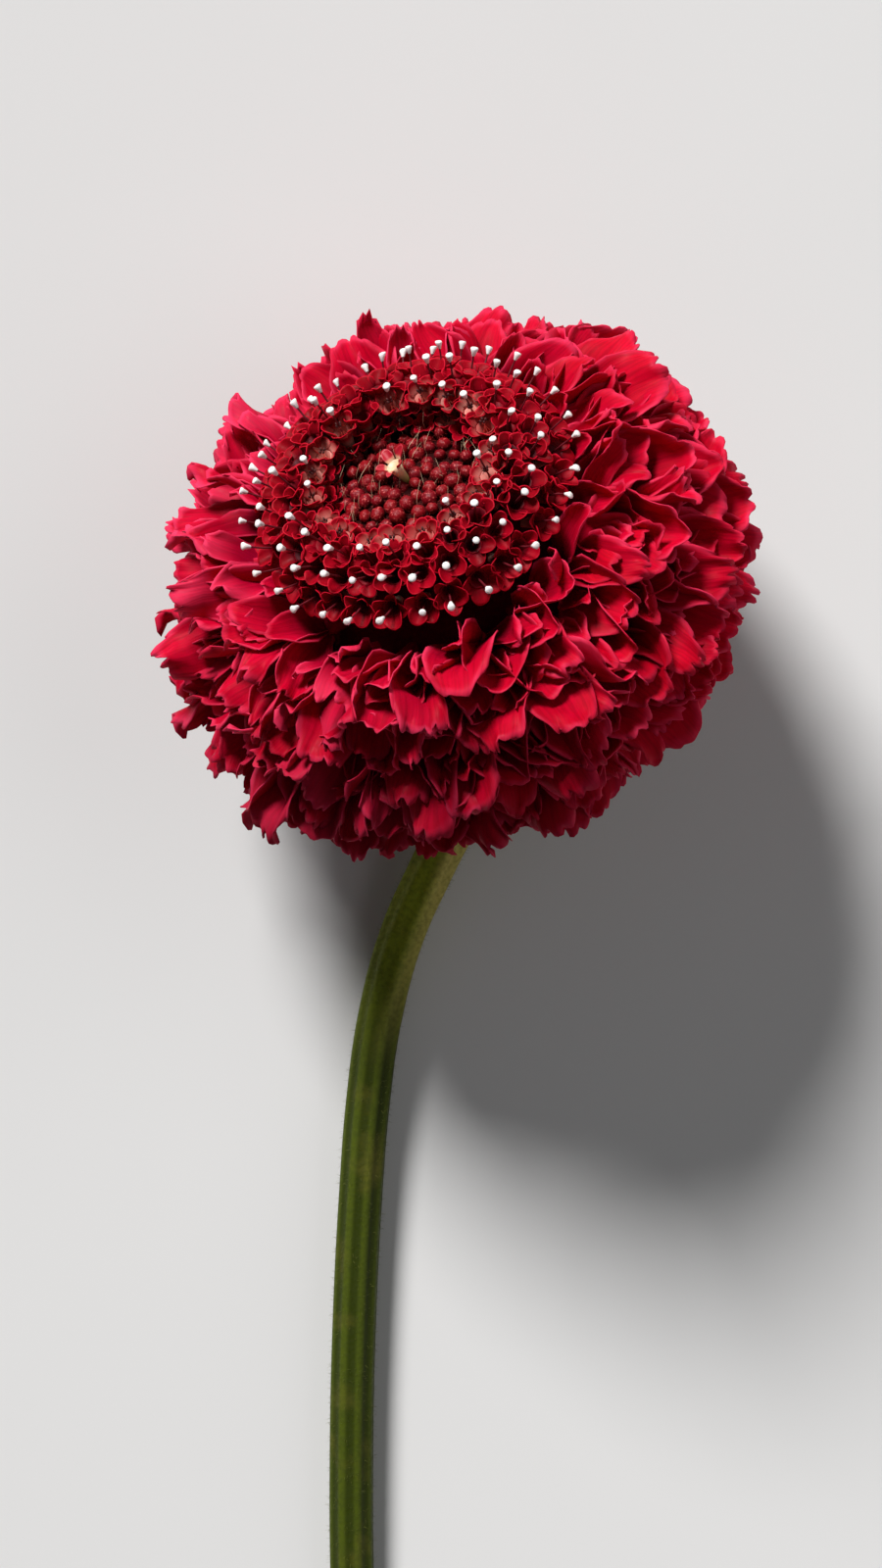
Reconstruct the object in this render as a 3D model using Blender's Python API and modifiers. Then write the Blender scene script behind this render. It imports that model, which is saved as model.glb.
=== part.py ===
"""A double scabiosa, cut and laid down: a globe of ray florets, a raised crown of disc
florets with pin-headed styles, closed buds in the middle, bracts below and a bent stalk.

Metres, +Z up. The stalk lies along -Y, and the head rests on its lower petals, facing up
and away. The origin is on the surface that it lies on, under the middle of the flower.
"""

import math
import random

import bmesh
import bpy
from mathutils import Matrix, Vector

MM = 0.001

# The head, an oblate globe about its own axis. Its frame has +Z along that axis.
HEAD_CENTRE = Vector((0.0, 51.4, 24.0)) * MM
HEAD_TILT = math.radians(40)
HEAD_TURN = math.radians(27)
HEAD_RADIUS = 30.7 * MM
HEAD_HALF_DEPTH = 21.8 * MM
GAP = 0.3 * MM

# The receptacle, the swollen top of the stalk that carries every floret
RECEPTACLE_RADIUS = 6.0 * MM
RECEPTACLE_TOP = 7.6 * MM
RECEPTACLE_BOTTOM = -6.4 * MM
NECK_BOTTOM = -11.0 * MM

# The stalk
NECK_RADIUS = 2.55 * MM
STALK_RADIUS = 2.3 * MM
CUT_SLANT = math.radians(52)

# Ray florets, in rings from the valley under the crown down to the underside
RAY_CORE_RADIUS = 15.5 * MM
RAY_CORE_HALF_DEPTH = 11.5 * MM
RAY_CORE_TOP = 7.3 * MM
RAY_CORE_BOTTOM = -5.6 * MM
RAY_RINGS = 7
RAY_FIRST_ANGLE = math.radians(58.5)
VALLEY_DIP = math.radians(6.5)
FAR_STRETCH = 0.06
NEAR_TRIM = 0.035
RAY_LAST_ANGLE = math.radians(120)
RAY_SPACING = 7.2 * MM
RAY_ROOT = 11.0 * MM
RAY_NARROW = 7.0 * MM
RAY_WIDE = 10.4 * MM
RAY_DROOP = 1.9 * MM
RAY_RUFFLE = 0.75 * MM
RAY_THICKNESS = 0.9 * MM
RAY_SEED = 11

# Where a blade's side points and its middle point sit, across it and from root to tip
SHOULDER_U = 0.95
SHOULDER_V = 0.62
MIDDLE_V = 0.70

# The crown, rings of small disc florets on a goblet-shaped core
CROWN_RINGS = 4
CROWN_INNER = 9.3 * MM
CROWN_OUTER = 15.1 * MM
CROWN_HEIGHT = 18.6 * MM
CROWN_FALL = 3.0 * MM
CROWN_SPLAY_INNER = math.radians(0)
CROWN_SPLAY_OUTER = math.radians(64)
CROWN_SPACING = 3.5 * MM
CROWN_SEAT = 1.9 * MM
FLORET_TUBE = 3.6 * MM
FLORET_LOBE = 1.8 * MM
FLORET_NOTCH = 0.9 * MM
FLORET_LOBES = 5
STYLE_REACH = 2.3 * MM
STIGMA_RADIUS = 0.55 * MM
CROWN_SEED = 5

# The closed buds, on a low cushion in the hollow of the crown
CUSHION_RADIUS = 8.2 * MM
CUSHION_BOTTOM = 12.3 * MM
CUSHION_TOP = 15.6 * MM
CUSHION_FALL = 0.7 * MM
BUDS = 60
BUD_RADIUS = 0.88 * MM
BUD_SIDES = 6
BUD_SEED = 3
EARLY_FLORET_AT = Vector((-0.6, 1.6, 18.3)) * MM
EARLY_FLORET_LOBE = 2.5 * MM

# Bracts, the green ring under the head
BRACTS = 12
BRACT_LENGTH = 11.0 * MM
BRACT_WIDTH = 3.4 * MM
BRACT_THICKNESS = 0.9 * MM
BRACT_FALL = math.radians(50)
COLLAR_RADIUS = 7.8 * MM
COLLAR_TOP = -6.3 * MM
COLLAR_BOTTOM = -8.4 * MM

GOLDEN_ANGLE = math.pi * (3 - math.sqrt(5))


def clear_scene():
    """Removes whatever the file holds."""
    for obj in list(bpy.data.objects):
        bpy.data.objects.remove(obj)


def collection(name):
    """A new collection in the scene."""
    made = bpy.data.collections.new(name)
    bpy.context.scene.collection.children.link(made)
    return made


def material(name, colour, roughness):
    """A plain Principled material, with no metal in it."""
    made = bpy.data.materials.new(name)
    made.use_nodes = True
    shader = made.node_tree.nodes["Principled BSDF"]
    shader.inputs["Base Color"].default_value = (*colour, 1.0)
    shader.inputs["Roughness"].default_value = roughness
    shader.inputs["Metallic"].default_value = 0.0
    return made


def object_of(bm, name, group, parent=None):
    """Turns a bmesh into an object of the group."""
    mesh = bpy.data.meshes.new(name)
    bm.to_mesh(mesh)
    bm.free()
    made = bpy.data.objects.new(name, mesh)
    group.objects.link(made)
    made.parent = parent
    return made


def turned(name, profile, steps, group, parent=None):
    """A solid turned about Z from a profile of (radius, height), outer side top to bottom."""
    bm = bmesh.new()
    points = [bm.verts.new((radius, 0.0, height)) for radius, height in profile]
    for start, end in zip(points, points[1:]):
        bm.edges.new((start, end))
    if profile[0][0] > 0.0:
        bm.edges.new((points[-1], points[0]))
    made = object_of(bm, name, group, parent)
    screw = made.modifiers.new("turn", "SCREW")
    screw.steps = steps
    screw.render_steps = steps
    screw.use_merge_vertices = True
    screw.merge_threshold = 1e-6
    return made


def baked(obj):
    """Replaces the object's mesh by its evaluated one, in its own frame."""
    graph = bpy.context.evaluated_depsgraph_get()
    graph.update()
    mesh = bpy.data.meshes.new_from_object(obj.evaluated_get(graph))
    obj.modifiers.clear()
    obj.data = mesh
    return obj


def islands(bm):
    """The mesh's separate bodies, as lists of faces."""
    left = set(bm.faces)
    found = []
    while left:
        body = []
        edge_of_search = [left.pop()]
        while edge_of_search:
            face = edge_of_search.pop()
            body.append(face)
            for edge in face.edges:
                for other in edge.link_faces:
                    if other in left:
                        left.remove(other)
                        edge_of_search.append(other)
        found.append(body)
    return found


def signed_volume(faces):
    """The volume inside triangles, negative where they face inwards."""
    total = 0.0
    for face in faces:
        a, b, c = (vert.co for vert in face.verts)
        total += a.dot(b.cross(c)) / 6.0
    return total


def keep_one_body(obj):
    """Fills the hollows that fusing sealed and drops the scraps: the largest body stays."""
    bm = bmesh.new()
    bm.from_mesh(obj.data)
    bmesh.ops.triangulate(bm, faces=bm.faces)
    bodies = sorted(islands(bm), key=signed_volume)
    for body in bodies[:-1]:
        bmesh.ops.delete(bm, geom=body, context="FACES")
    bm.to_mesh(obj.data)
    bm.free()


def fuse(obj, repeats, cutters=()):
    """Joins a collection of repeats to the object, cuts it, and removes the repeats."""
    union = obj.modifiers.new("repeats", "BOOLEAN")
    union.operation = "UNION"
    union.operand_type = "COLLECTION"
    union.collection = repeats
    union.solver = "MANIFOLD"
    for cutter in cutters:
        cut = obj.modifiers.new("cut", "BOOLEAN")
        cut.operation = "DIFFERENCE"
        cut.object = cutter
        cut.solver = "MANIFOLD"
    baked(obj)
    for repeat in list(repeats.objects):
        bpy.data.objects.remove(repeat)
    bpy.data.collections.remove(repeats)
    keep_one_body(obj)
    return obj


def direction(polar, azimuth):
    """The unit vector at that angle from the head's axis."""
    return Vector(
        (
            math.sin(polar) * math.cos(azimuth),
            math.sin(polar) * math.sin(azimuth),
            math.cos(polar),
        )
    )


def globe_reach(polar):
    """From the head's centre to the globe's surface at that angle from its axis."""
    across = math.sin(polar) / HEAD_RADIUS
    along = math.cos(polar) / HEAD_HALF_DEPTH
    return 1.0 / math.hypot(across, along)


def facing(axis, hint):
    """A rotation that turns +Z to the axis and +X as near as it can to the hint."""
    z = axis.normalized()
    x = (hint - z * hint.dot(z)).normalized()
    return Matrix((x, z.cross(x), z)).transposed().to_4x4()


def spindle(ring, top, bottom, name, group, parent):
    """A closed solid from a ring of points and one point on either side of it."""
    bm = bmesh.new()
    bmesh.ops.create_uvsphere(bm, u_segments=len(ring), v_segments=2, radius=1.0)
    low, *equator, high = sorted(bm.verts, key=lambda vert: vert.co.z)
    low.co = bottom
    high.co = top
    for vert, point in zip(sorted(equator, key=lambda v: math.atan2(v.co.y, v.co.x)), ring):
        vert.co = point
    bm.normal_update()
    bmesh.ops.recalc_face_normals(bm, faces=bm.faces)
    return object_of(bm, name, group, parent)


def blade(surface, thickness, tip_points, name, group, parent):
    """A thin closed blade. surface(u, v) gives its middle, u from -1 to 1 across it and v
    from 0 at the root to 1 at the tip. Both faces have the same triangles."""
    ring = [surface(0.0, 0.0), surface(SHOULDER_U, SHOULDER_V)]
    for k in range(tip_points):
        ring.append(surface(1.0 - 2.0 * k / (tip_points - 1), 1.0))
    ring.append(surface(-SHOULDER_U, SHOULDER_V))
    middle = surface(0.0, MIDDLE_V)
    across = surface(1.0, MIDDLE_V) - surface(-1.0, MIDDLE_V)
    lift = across.cross(surface(0.0, 1.0) - ring[0]).normalized() * thickness / 2.0
    return spindle(ring, middle + lift, middle - lift, name, group, parent)


def ray_places():
    """Each ray floret's ring share, polar angle, azimuth, reach and twist."""
    draw = random.Random(RAY_SEED)
    places = []
    for ring in range(RAY_RINGS):
        share = ring / (RAY_RINGS - 1)
        polar = RAY_FIRST_ANGLE + share * (RAY_LAST_ANGLE - RAY_FIRST_ANGLE)
        around = 2 * math.pi * globe_reach(polar) * math.sin(polar)
        count = round(around / RAY_SPACING)
        for k in range(count):
            turn = k + 0.5 * (ring % 2) + draw.uniform(-0.22, 0.22)
            azimuth = 2 * math.pi * turn / count
            near = max(0.0, -math.sin(azimuth))
            far = max(0.0, math.sin(azimuth))
            angle = polar + VALLEY_DIP * (1.0 - share) * near
            angle += math.radians(draw.uniform(-3.0, 3.0))
            stretch = 1.0 + FAR_STRETCH * (1.0 - share) * far - NEAR_TRIM * share * near
            reach = globe_reach(angle) * stretch * (1.0 + draw.uniform(-0.04, 0.045))
            twist = math.radians(draw.uniform(-28.0, 28.0))
            places.append((share, angle, azimuth, reach, twist))
    return places


def ray_surface(place, draw):
    """The middle surface of one ray floret's outer lobes, a ruffled fan."""
    share, polar, azimuth, reach, twist = place
    out = direction(polar, azimuth)
    down = direction(polar + math.pi / 2, azimuth)
    side = out.cross(down)
    across = side * math.cos(twist) + down * math.sin(twist)
    away = across.cross(out)
    width = RAY_NARROW + (RAY_WIDE - RAY_NARROW) * min(1.0, 2.0 * share)
    depth = RAY_RUFFLE * draw.choice((-1.0, 1.0)) * draw.uniform(0.7, 1.3)
    droop = RAY_DROOP * draw.uniform(0.5, 1.2) * (0.4 + 0.6 * share)

    def surface(u, v):
        fold = math.cos(2.0 * math.pi * u)
        rise = v * (1.0 - 0.15 * v * u * u)
        along = RAY_ROOT + (reach - RAY_ROOT) * rise
        spread = width / 2 * (0.50 * v + 0.50 * v * v)
        return out * along + across * (u * spread) + away * (depth * v * fold + droop * v * v)

    return surface


def make_ray_florets(head, group, cutters):
    """The globe of ray florets, fused on a ring round the receptacle."""
    bore = RECEPTACLE_RADIUS + GAP
    profile = []
    for k in range(7):
        height = RAY_CORE_TOP + (RAY_CORE_BOTTOM - RAY_CORE_TOP) * k / 6
        round_off = math.sqrt(1.0 - (height / RAY_CORE_HALF_DEPTH) ** 2)
        profile.append((RAY_CORE_RADIUS * round_off, height))
    profile.append((bore, RAY_CORE_BOTTOM))
    profile.insert(0, (bore, RAY_CORE_TOP))
    core = turned("ray_florets", profile, 16, group, head)
    repeats = collection("ray blades")
    draw = random.Random(RAY_SEED + 1)
    for place in ray_places():
        blade(ray_surface(place, draw), RAY_THICKNESS, 5, "ray", repeats, head)
    return fuse(core, repeats, cutters)


def trumpet(tube, lobe, notch, throat, rise, name, group, head):
    """A five-lobed flower face on a tapering tube, its mouth at the origin, opening to +Z."""
    ring = []
    for k in range(2 * FLORET_LOBES):
        reach, height = (lobe, rise) if k % 2 == 0 else (notch, 0.0)
        angle = math.pi * k / FLORET_LOBES
        ring.append(Vector((reach * math.cos(angle), reach * math.sin(angle), height)))
    return spindle(ring, Vector((0, 0, -throat)), Vector((0, 0, -tube)), name, group, head)


def pin(root, reach, radius, name, group, head):
    """A style with its stigma, a slim spike that widens to its head at +Z."""
    ring = [Vector((0, radius, reach)), Vector((-0.87 * radius, -0.5 * radius, reach))]
    ring.append(Vector((0.87 * radius, -0.5 * radius, reach)))
    top = Vector((0, 0, reach + 0.7 * radius))
    return spindle(ring, top, Vector((0, 0, -root)), name, group, head)


def crown_line(share):
    """Radius, height and splay of a crown floret's mouth, from the inner ring to the rim."""
    radius = CROWN_INNER + share * (CROWN_OUTER - CROWN_INNER)
    height = CROWN_HEIGHT + 0.9 * MM * math.sin(math.pi * share) - CROWN_FALL * share**2
    splay = CROWN_SPLAY_INNER + (CROWN_SPLAY_OUTER - CROWN_SPLAY_INNER) * share**1.2
    return radius, height, splay


def crown_places():
    """Each crown floret's mouth, axis, size and spin, and whether its style stands out."""
    draw = random.Random(CROWN_SEED)
    places = []
    for ring in range(CROWN_RINGS):
        share = ring / (CROWN_RINGS - 1)
        radius, height, splay = crown_line(share)
        count = round(2 * math.pi * radius / CROWN_SPACING)
        for k in range(count):
            turn = k + 0.5 * (ring % 2) + draw.uniform(-0.14, 0.14)
            azimuth = 2 * math.pi * turn / count
            lean = splay + math.radians(draw.uniform(-7.0, 7.0))
            lift = draw.uniform(-0.35, 0.35) * MM
            mouth = Vector((radius * math.cos(azimuth), radius * math.sin(azimuth), height + lift))
            size = draw.uniform(0.9, 1.08)
            spin = draw.uniform(0.0, math.tau / FLORET_LOBES)
            shows_style = draw.random() < 0.25 + 0.75 * share
            places.append((mouth, direction(lean, azimuth), size, spin, shows_style))
    return places


def make_crown(head, group):
    """The raised ring of disc florets, fused on a goblet-shaped core."""
    floor = CUSHION_BOTTOM - GAP
    underside = RECEPTACLE_TOP + GAP
    profile = [(0.0, floor), (CUSHION_RADIUS + GAP, floor)]
    for k in range(5):
        radius, height, splay = crown_line(k / 4)
        inset = CROWN_SEAT * math.sin(splay) + 0.4 * MM
        profile.append((radius - inset, height - CROWN_SEAT * math.cos(splay)))
    profile.append((CROWN_OUTER - 2.4 * MM, CROWN_HEIGHT - 6.2 * MM))
    profile.append((CROWN_OUTER - 5.0 * MM, CROWN_HEIGHT - 7.6 * MM))
    profile.append((RECEPTACLE_RADIUS + 1.4 * MM, underside))
    profile.append((0.0, underside))
    core = turned("crown_florets", profile, 15, group, head)
    repeats = collection("crown repeats")
    for mouth, axis, size, spin, shows_style in crown_places():
        upright = facing(axis, mouth.cross(Vector((0, 0, 1))))
        place = Matrix.Translation(mouth) @ upright @ Matrix.Rotation(spin, 4, "Z")
        lobe = FLORET_LOBE * size
        floret = trumpet(
            FLORET_TUBE, lobe, FLORET_NOTCH, 0.8 * MM, 0.35 * MM, "floret", repeats, head
        )
        floret.data.transform(place)
        if shows_style:
            style = pin(2.0 * MM, STYLE_REACH * size, STIGMA_RADIUS, "style", repeats, head)
            style.data.transform(place)
    return fuse(core, repeats)


def cushion_height(radius):
    """The top of the bud cushion at that distance from the head's axis."""
    return CUSHION_TOP - CUSHION_FALL * (radius / CUSHION_RADIUS) ** 2


def make_buds(head, group):
    """The closed buds in a spiral on their cushion, with the one floret that opened early."""
    profile = [(0.0, CUSHION_TOP)]
    for k in range(1, 3):
        radius = CUSHION_RADIUS * k / 2
        profile.append((radius, cushion_height(radius)))
    profile.append((CUSHION_RADIUS, CUSHION_BOTTOM))
    profile.append((0.0, CUSHION_BOTTOM))
    core = turned("buds", profile, 12, group, head)
    repeats = collection("bud repeats")
    draw = random.Random(BUD_SEED)
    for k in range(BUDS):
        radius = (CUSHION_RADIUS - 0.75 * MM) * math.sqrt((k + 0.5) / BUDS)
        angle = k * GOLDEN_ANGLE
        size = BUD_RADIUS * draw.uniform(0.88, 1.1)
        lift = draw.uniform(0.1, 0.6) * MM
        ring = []
        for side in range(BUD_SIDES):
            turn = math.tau * side / BUD_SIDES
            ring.append(Vector((size * math.cos(turn), size * math.sin(turn), 0)))
        top = Vector((0, 0, 0.85 * size))
        bud = spindle(ring, top, Vector((0, 0, -1.6 * size)), "bud", repeats, head)
        height = cushion_height(radius) + lift
        spot = Vector((radius * math.cos(angle), radius * math.sin(angle), height))
        turn = Matrix.Rotation(draw.uniform(0, math.tau), 4, "Z")
        bud.data.transform(Matrix.Translation(spot) @ turn)
    early = trumpet(
        4.5 * MM, EARLY_FLORET_LOBE, 0.9 * MM, 0.8 * MM, 0.5 * MM, "early", repeats, head
    )
    early.data.transform(
        Matrix.Translation(EARLY_FLORET_AT) @ facing(direction(0.35, 2.4), Vector((1, 0, 0)))
    )
    return fuse(core, repeats)


def bract_surface(azimuth, length, fall):
    """The middle surface of one bract, a lance-shaped blade that leans down and out."""
    out = direction(math.pi / 2 + fall, azimuth)
    up = direction(fall, azimuth)
    side = out.cross(up)

    height = (COLLAR_TOP + COLLAR_BOTTOM) / 2
    root = direction(math.pi / 2, azimuth) * (COLLAR_RADIUS - 1.2 * MM) + Vector((0, 0, height))

    def surface(u, v):
        spread = BRACT_WIDTH / 2 * (0.5 + 1.6 * v - 1.8 * v * v)
        return root + out * (length * v) + side * (u * spread) + up * (0.9 * MM * v * v)

    return surface


def make_bracts(head, group):
    """The ring of green bracts on a collar round the neck."""
    inner = RECEPTACLE_RADIUS + GAP
    low_inner = inner - 1.4 * MM
    profile = [
        (inner, COLLAR_TOP),
        (COLLAR_RADIUS, COLLAR_TOP),
        (COLLAR_RADIUS, COLLAR_BOTTOM),
        (low_inner, COLLAR_BOTTOM),
    ]
    core = turned("bracts", profile, 18, group, head)
    repeats = collection("bract blades")
    draw = random.Random(BRACTS)
    for k in range(BRACTS):
        azimuth = math.tau * (k + draw.uniform(-0.15, 0.15)) / BRACTS
        length = BRACT_LENGTH * draw.uniform(0.85, 1.1)
        fall = BRACT_FALL + math.radians(draw.uniform(-4, 4))
        blade(bract_surface(azimuth, length, fall), BRACT_THICKNESS, 3, "bract", repeats, head)
    return fuse(core, repeats)


def stalk_route():
    """The middle line of the stalk, from inside the receptacle to the cut end, each point
    with its share of the way from the neck's thickness to the stalk's."""
    bend = (
        (1.75, -3.4, 19.4),
        (2.3, -5.6, 16.6),
        (2.85, -9.4, 12.0),
        (2.75, -15.4, 7.9),
        (0.8, -22.4, 5.5),
        (-2.5, -29.3, 4.3),
        (-5.7, -36.5, 3.6),
        (-8.0, -45.0, 3.15),
        (-9.3, -54.0, 2.95),
        (-10.1, -64.0, 2.85),
        (-10.8, -78.0, 2.7),
        (-11.1, -92.0, 2.6),
        (-11.0, -106.0, 2.4),
        (-10.4, -120.0, 2.25),
        (-9.4, -134.0, 2.1),
    )
    route = []
    for k, (x, y, height) in enumerate(bend):
        place = Vector((HEAD_CENTRE.x + x * MM, HEAD_CENTRE.y + y * MM, height * MM))
        route.append((place, min(1.0, k / 9)))
    return route


def make_stalk(head, group, slab, helpers):
    """The bent stalk with the receptacle that it swells into, cut on a slant."""
    route = stalk_route()
    curve = bpy.data.curves.new("stalk line", "CURVE")
    curve.dimensions = "3D"
    curve.bevel_depth = 1.0
    curve.bevel_resolution = 2
    curve.resolution_u = 2
    curve.use_fill_caps = True
    line = curve.splines.new("BEZIER")
    line.bezier_points.add(len(route) - 1)
    for point, (place, share) in zip(line.bezier_points, route):
        point.co = place
        point.handle_left_type = "AUTO"
        point.handle_right_type = "AUTO"
        point.radius = NECK_RADIUS + (STALK_RADIUS - NECK_RADIUS) * share
    tube = bpy.data.objects.new("stalk tube", curve)
    group.objects.link(tube)
    graph = bpy.context.evaluated_depsgraph_get()
    graph.update()
    mesh = bpy.data.meshes.new_from_object(tube.evaluated_get(graph))
    bpy.data.objects.remove(tube)
    bm = bmesh.new()
    bm.from_mesh(mesh)
    bmesh.ops.remove_doubles(bm, verts=bm.verts, dist=1e-6)
    bmesh.ops.recalc_face_normals(bm, faces=bm.faces)
    stalk = object_of(bm, "stalk", group)

    profile = [(0.0, RECEPTACLE_TOP)]
    profile.append((RECEPTACLE_RADIUS * 0.8, RECEPTACLE_TOP))
    profile.append((RECEPTACLE_RADIUS, RECEPTACLE_TOP - 1.6 * MM))
    profile.append((RECEPTACLE_RADIUS, RECEPTACLE_BOTTOM))
    profile.append((RECEPTACLE_RADIUS - 1.5 * MM, RECEPTACLE_BOTTOM - 2.1 * MM))
    profile.append((NECK_RADIUS + 0.6 * MM, NECK_BOTTOM + 0.6 * MM))
    profile.append((NECK_RADIUS - 0.4 * MM, NECK_BOTTOM - 1.2 * MM))
    profile.append((0.0, NECK_BOTTOM - 1.2 * MM))
    repeats = collection("receptacle")
    turned("receptacle", profile, 20, repeats, head)
    end = route[-1][0]
    bm = bmesh.new()
    bmesh.ops.create_cube(bm, size=20 * MM)
    knife = object_of(bm, "slant knife", helpers)
    knife.data.transform(Matrix.Translation((0, -10 * MM, 0)))
    knife.location = end + Vector((0, 4.0 * MM, 0))
    knife.rotation_euler = (math.pi / 2 - CUT_SLANT, 0, 0)
    knife.hide_render = True
    knife.display_type = "WIRE"
    return fuse(stalk, repeats, (knife, slab))


def make_floor_cutter(helpers):
    """The slab that the lowest petals are pressed flat on, as a cutter."""
    depth = 20 * MM
    bm = bmesh.new()
    bmesh.ops.create_cube(bm, size=1.0)
    slab = object_of(bm, "table slab", helpers)
    slab.data.transform(Matrix.Diagonal((90 * MM, 240 * MM, depth, 1.0)))
    slab.location = (0, 0, -depth / 2)
    slab.hide_render = True
    slab.display_type = "WIRE"
    return slab


def main():
    clear_scene()
    group = collection("scabiosa")
    helpers = collection("cutters")
    head = bpy.data.objects.new("head", None)
    group.objects.link(head)
    head.location = HEAD_CENTRE
    head.rotation_euler = (-HEAD_TILT, 0.0, HEAD_TURN)
    bpy.context.view_layer.update()

    crimson = material("ray petal crimson", (0.62, 0.01, 0.05), 0.5)
    wine = material("crown floret wine red", (0.38, 0.004, 0.02), 0.45)
    dusky = material("bud dusky red", (0.30, 0.02, 0.03), 0.6)
    leaf = material("bract green", (0.16, 0.24, 0.05), 0.6)
    green = material("stalk green", (0.14, 0.22, 0.04), 0.5)

    slab = make_floor_cutter(helpers)
    pieces = (
        (make_ray_florets(head, group, (slab,)), crimson),
        (make_crown(head, group), wine),
        (make_buds(head, group), dusky),
        (make_bracts(head, group), leaf),
        (make_stalk(head, group, slab, helpers), green),
    )
    for piece, finish in pieces:
        piece.data.materials.clear()
        piece.data.materials.append(finish)


main()
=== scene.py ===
"""Dresses the solids of a cut double scabiosa: frilled ray florets, a crown of small disc
florets with pin-headed styles, hairy buds, bracts and a ribbed, downy stalk."""

import math
import random
from dataclasses import dataclass, field

import bmesh
import bpy
from mathutils import Matrix, Vector


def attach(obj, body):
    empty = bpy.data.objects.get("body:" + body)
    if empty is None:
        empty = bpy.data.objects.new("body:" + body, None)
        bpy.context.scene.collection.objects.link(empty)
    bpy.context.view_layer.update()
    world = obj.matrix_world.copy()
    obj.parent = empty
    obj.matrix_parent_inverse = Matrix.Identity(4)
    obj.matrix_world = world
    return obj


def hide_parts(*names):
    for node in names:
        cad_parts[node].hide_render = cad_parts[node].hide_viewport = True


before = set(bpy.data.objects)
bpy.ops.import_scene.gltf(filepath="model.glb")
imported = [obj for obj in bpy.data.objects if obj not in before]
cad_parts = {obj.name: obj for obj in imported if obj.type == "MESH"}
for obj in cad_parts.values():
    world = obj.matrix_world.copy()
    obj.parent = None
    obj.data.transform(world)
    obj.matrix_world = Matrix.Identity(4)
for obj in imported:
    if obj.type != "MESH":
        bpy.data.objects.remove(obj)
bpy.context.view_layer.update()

bl_info = {
    "name": "Scabiosa flower",
    "version": (1, 0, 0),
    "blender": (4, 5, 0),
    "location": "View3D > Sidebar > Scabiosa",
    "description": "Makes a cut double scabiosa on its solids",
    "category": "Object",
}

MM = 0.001
UP = Vector((0.0, 0.0, 1.0))
SIDEWAYS = Vector((1.0, 0.0, 0.01))
GOLDEN_ANGLE = math.pi * (3 - math.sqrt(5))

# The head's place and the rings of florets, the same as in the solids
HEAD_CENTRE = Vector((0.0, 51.4, 24.0)) * MM
HEAD_TILT = math.radians(40)
HEAD_TURN = math.radians(27)
HEAD_RADIUS = 30.7 * MM
HEAD_HALF_DEPTH = 21.8 * MM
RAY_RINGS = 7
RAY_FIRST_ANGLE = math.radians(58.5)
VALLEY_DIP = math.radians(6.5)
FAR_STRETCH = 0.06
NEAR_TRIM = 0.035
RAY_LAST_ANGLE = math.radians(120)
RAY_SPACING = 7.2 * MM
RAY_ROOT = 11.0 * MM
RAY_WANDER = 0.22
RAY_NOD_DEGREES = 3.0
RAY_TWIST_DEGREES = 28.0
RAY_SEED = 11
CROWN_RINGS = 4
CROWN_INNER = 9.3 * MM
CROWN_OUTER = 15.1 * MM
CROWN_HEIGHT = 18.6 * MM
CROWN_SWELL = 0.9 * MM
CROWN_FALL = 3.0 * MM
CROWN_SPLAY = math.radians(64)
CROWN_WANDER = 0.14
CROWN_NOD_DEGREES = 7.0
CROWN_SEED = 5
CUSHION_RADIUS = 8.2 * MM
CUSHION_TOP = 15.6 * MM
CUSHION_FALL = 0.7 * MM
BUD_SEED = 3
EARLY_FLORET_AT = Vector((-0.6, 1.6, 18.3)) * MM
EARLY_LEAN = (0.35, 2.4)
BRACTS = 12
BRACT_FALL = math.radians(50)
COLLAR_RADIUS = 7.8 * MM
COLLAR_HEIGHT = -7.35 * MM

# What differs from the solids, or is in the scene alone
SMOOTH_SIDE = math.radians(-25)
CROWN_SPACING = 3.0 * MM
HALF_OPEN = 44
HALF_OPEN_RADIUS = 8.8 * MM
HALF_OPEN_HEIGHT = 17.3 * MM
BUDS = 84
BUD_SHAPES = 5
BRACT_SHAPES = 3
BRISTLES = 70
BUD_HAIR_RADIUS = 0.018 * MM
BUD_HAIR_LEAN = 0.5
BRISTLE_RADIUS = 0.048 * MM
DOWN_RADIUS = 0.014 * MM
DOWN_LEAN = 0.7
DOWN_SEED = 9
RAY_SHAPE_SEED = 100
CROWN_SHAPE_SEED = 200
STYLE_SHAPE_SEED = 300
BUD_SHAPE_SEED = 400
BRACT_SHAPE_SEED = 500
RUFFLE_SIZE = 4 * MM
PETAL_PRESS = 0.5 * MM
HAIR_PRESS = 0.2 * MM
STALK_PRESS = 0.25 * MM

# The florets and the bracts, unscaled
FLORET_LENGTH = 15.9 * MM
FLORET_THROAT = 5.2 * MM
FLORET_LOBES = 5
BLADE_THICKNESS = 0.16 * MM
CROWN_BLADE_THICKNESS = 0.11 * MM
BRACT_THICKNESS = 0.35 * MM
STAMENS = 4
FUNNEL_RADIUS = 0.85 * MM
FUNNEL_SINK = 0.45 * MM
CROWN_OPENING = (0.5, 1.05)
EARLY_OPENING = (0.8, 1.2)
EARLY_LOBE = (1.6 * MM, 1.1 * MM)
EARLY_NUMBER = 6

# How often a lobe's edge is scalloped, crimped in each broad wave, and pleated across
SCALLOPS = 4.6
CRIMPS = 7.0
PLEATS = 3.6
BUD_LOBES = 5

# Columns and rows of the meshes
BROAD_GRID = (20, 10)
SMALL_GRID = (8, 6)
CROWN_GRID = (6, 5)
BRACT_GRID = (8, 14)
BUD_GRID = (20, 12)

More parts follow.
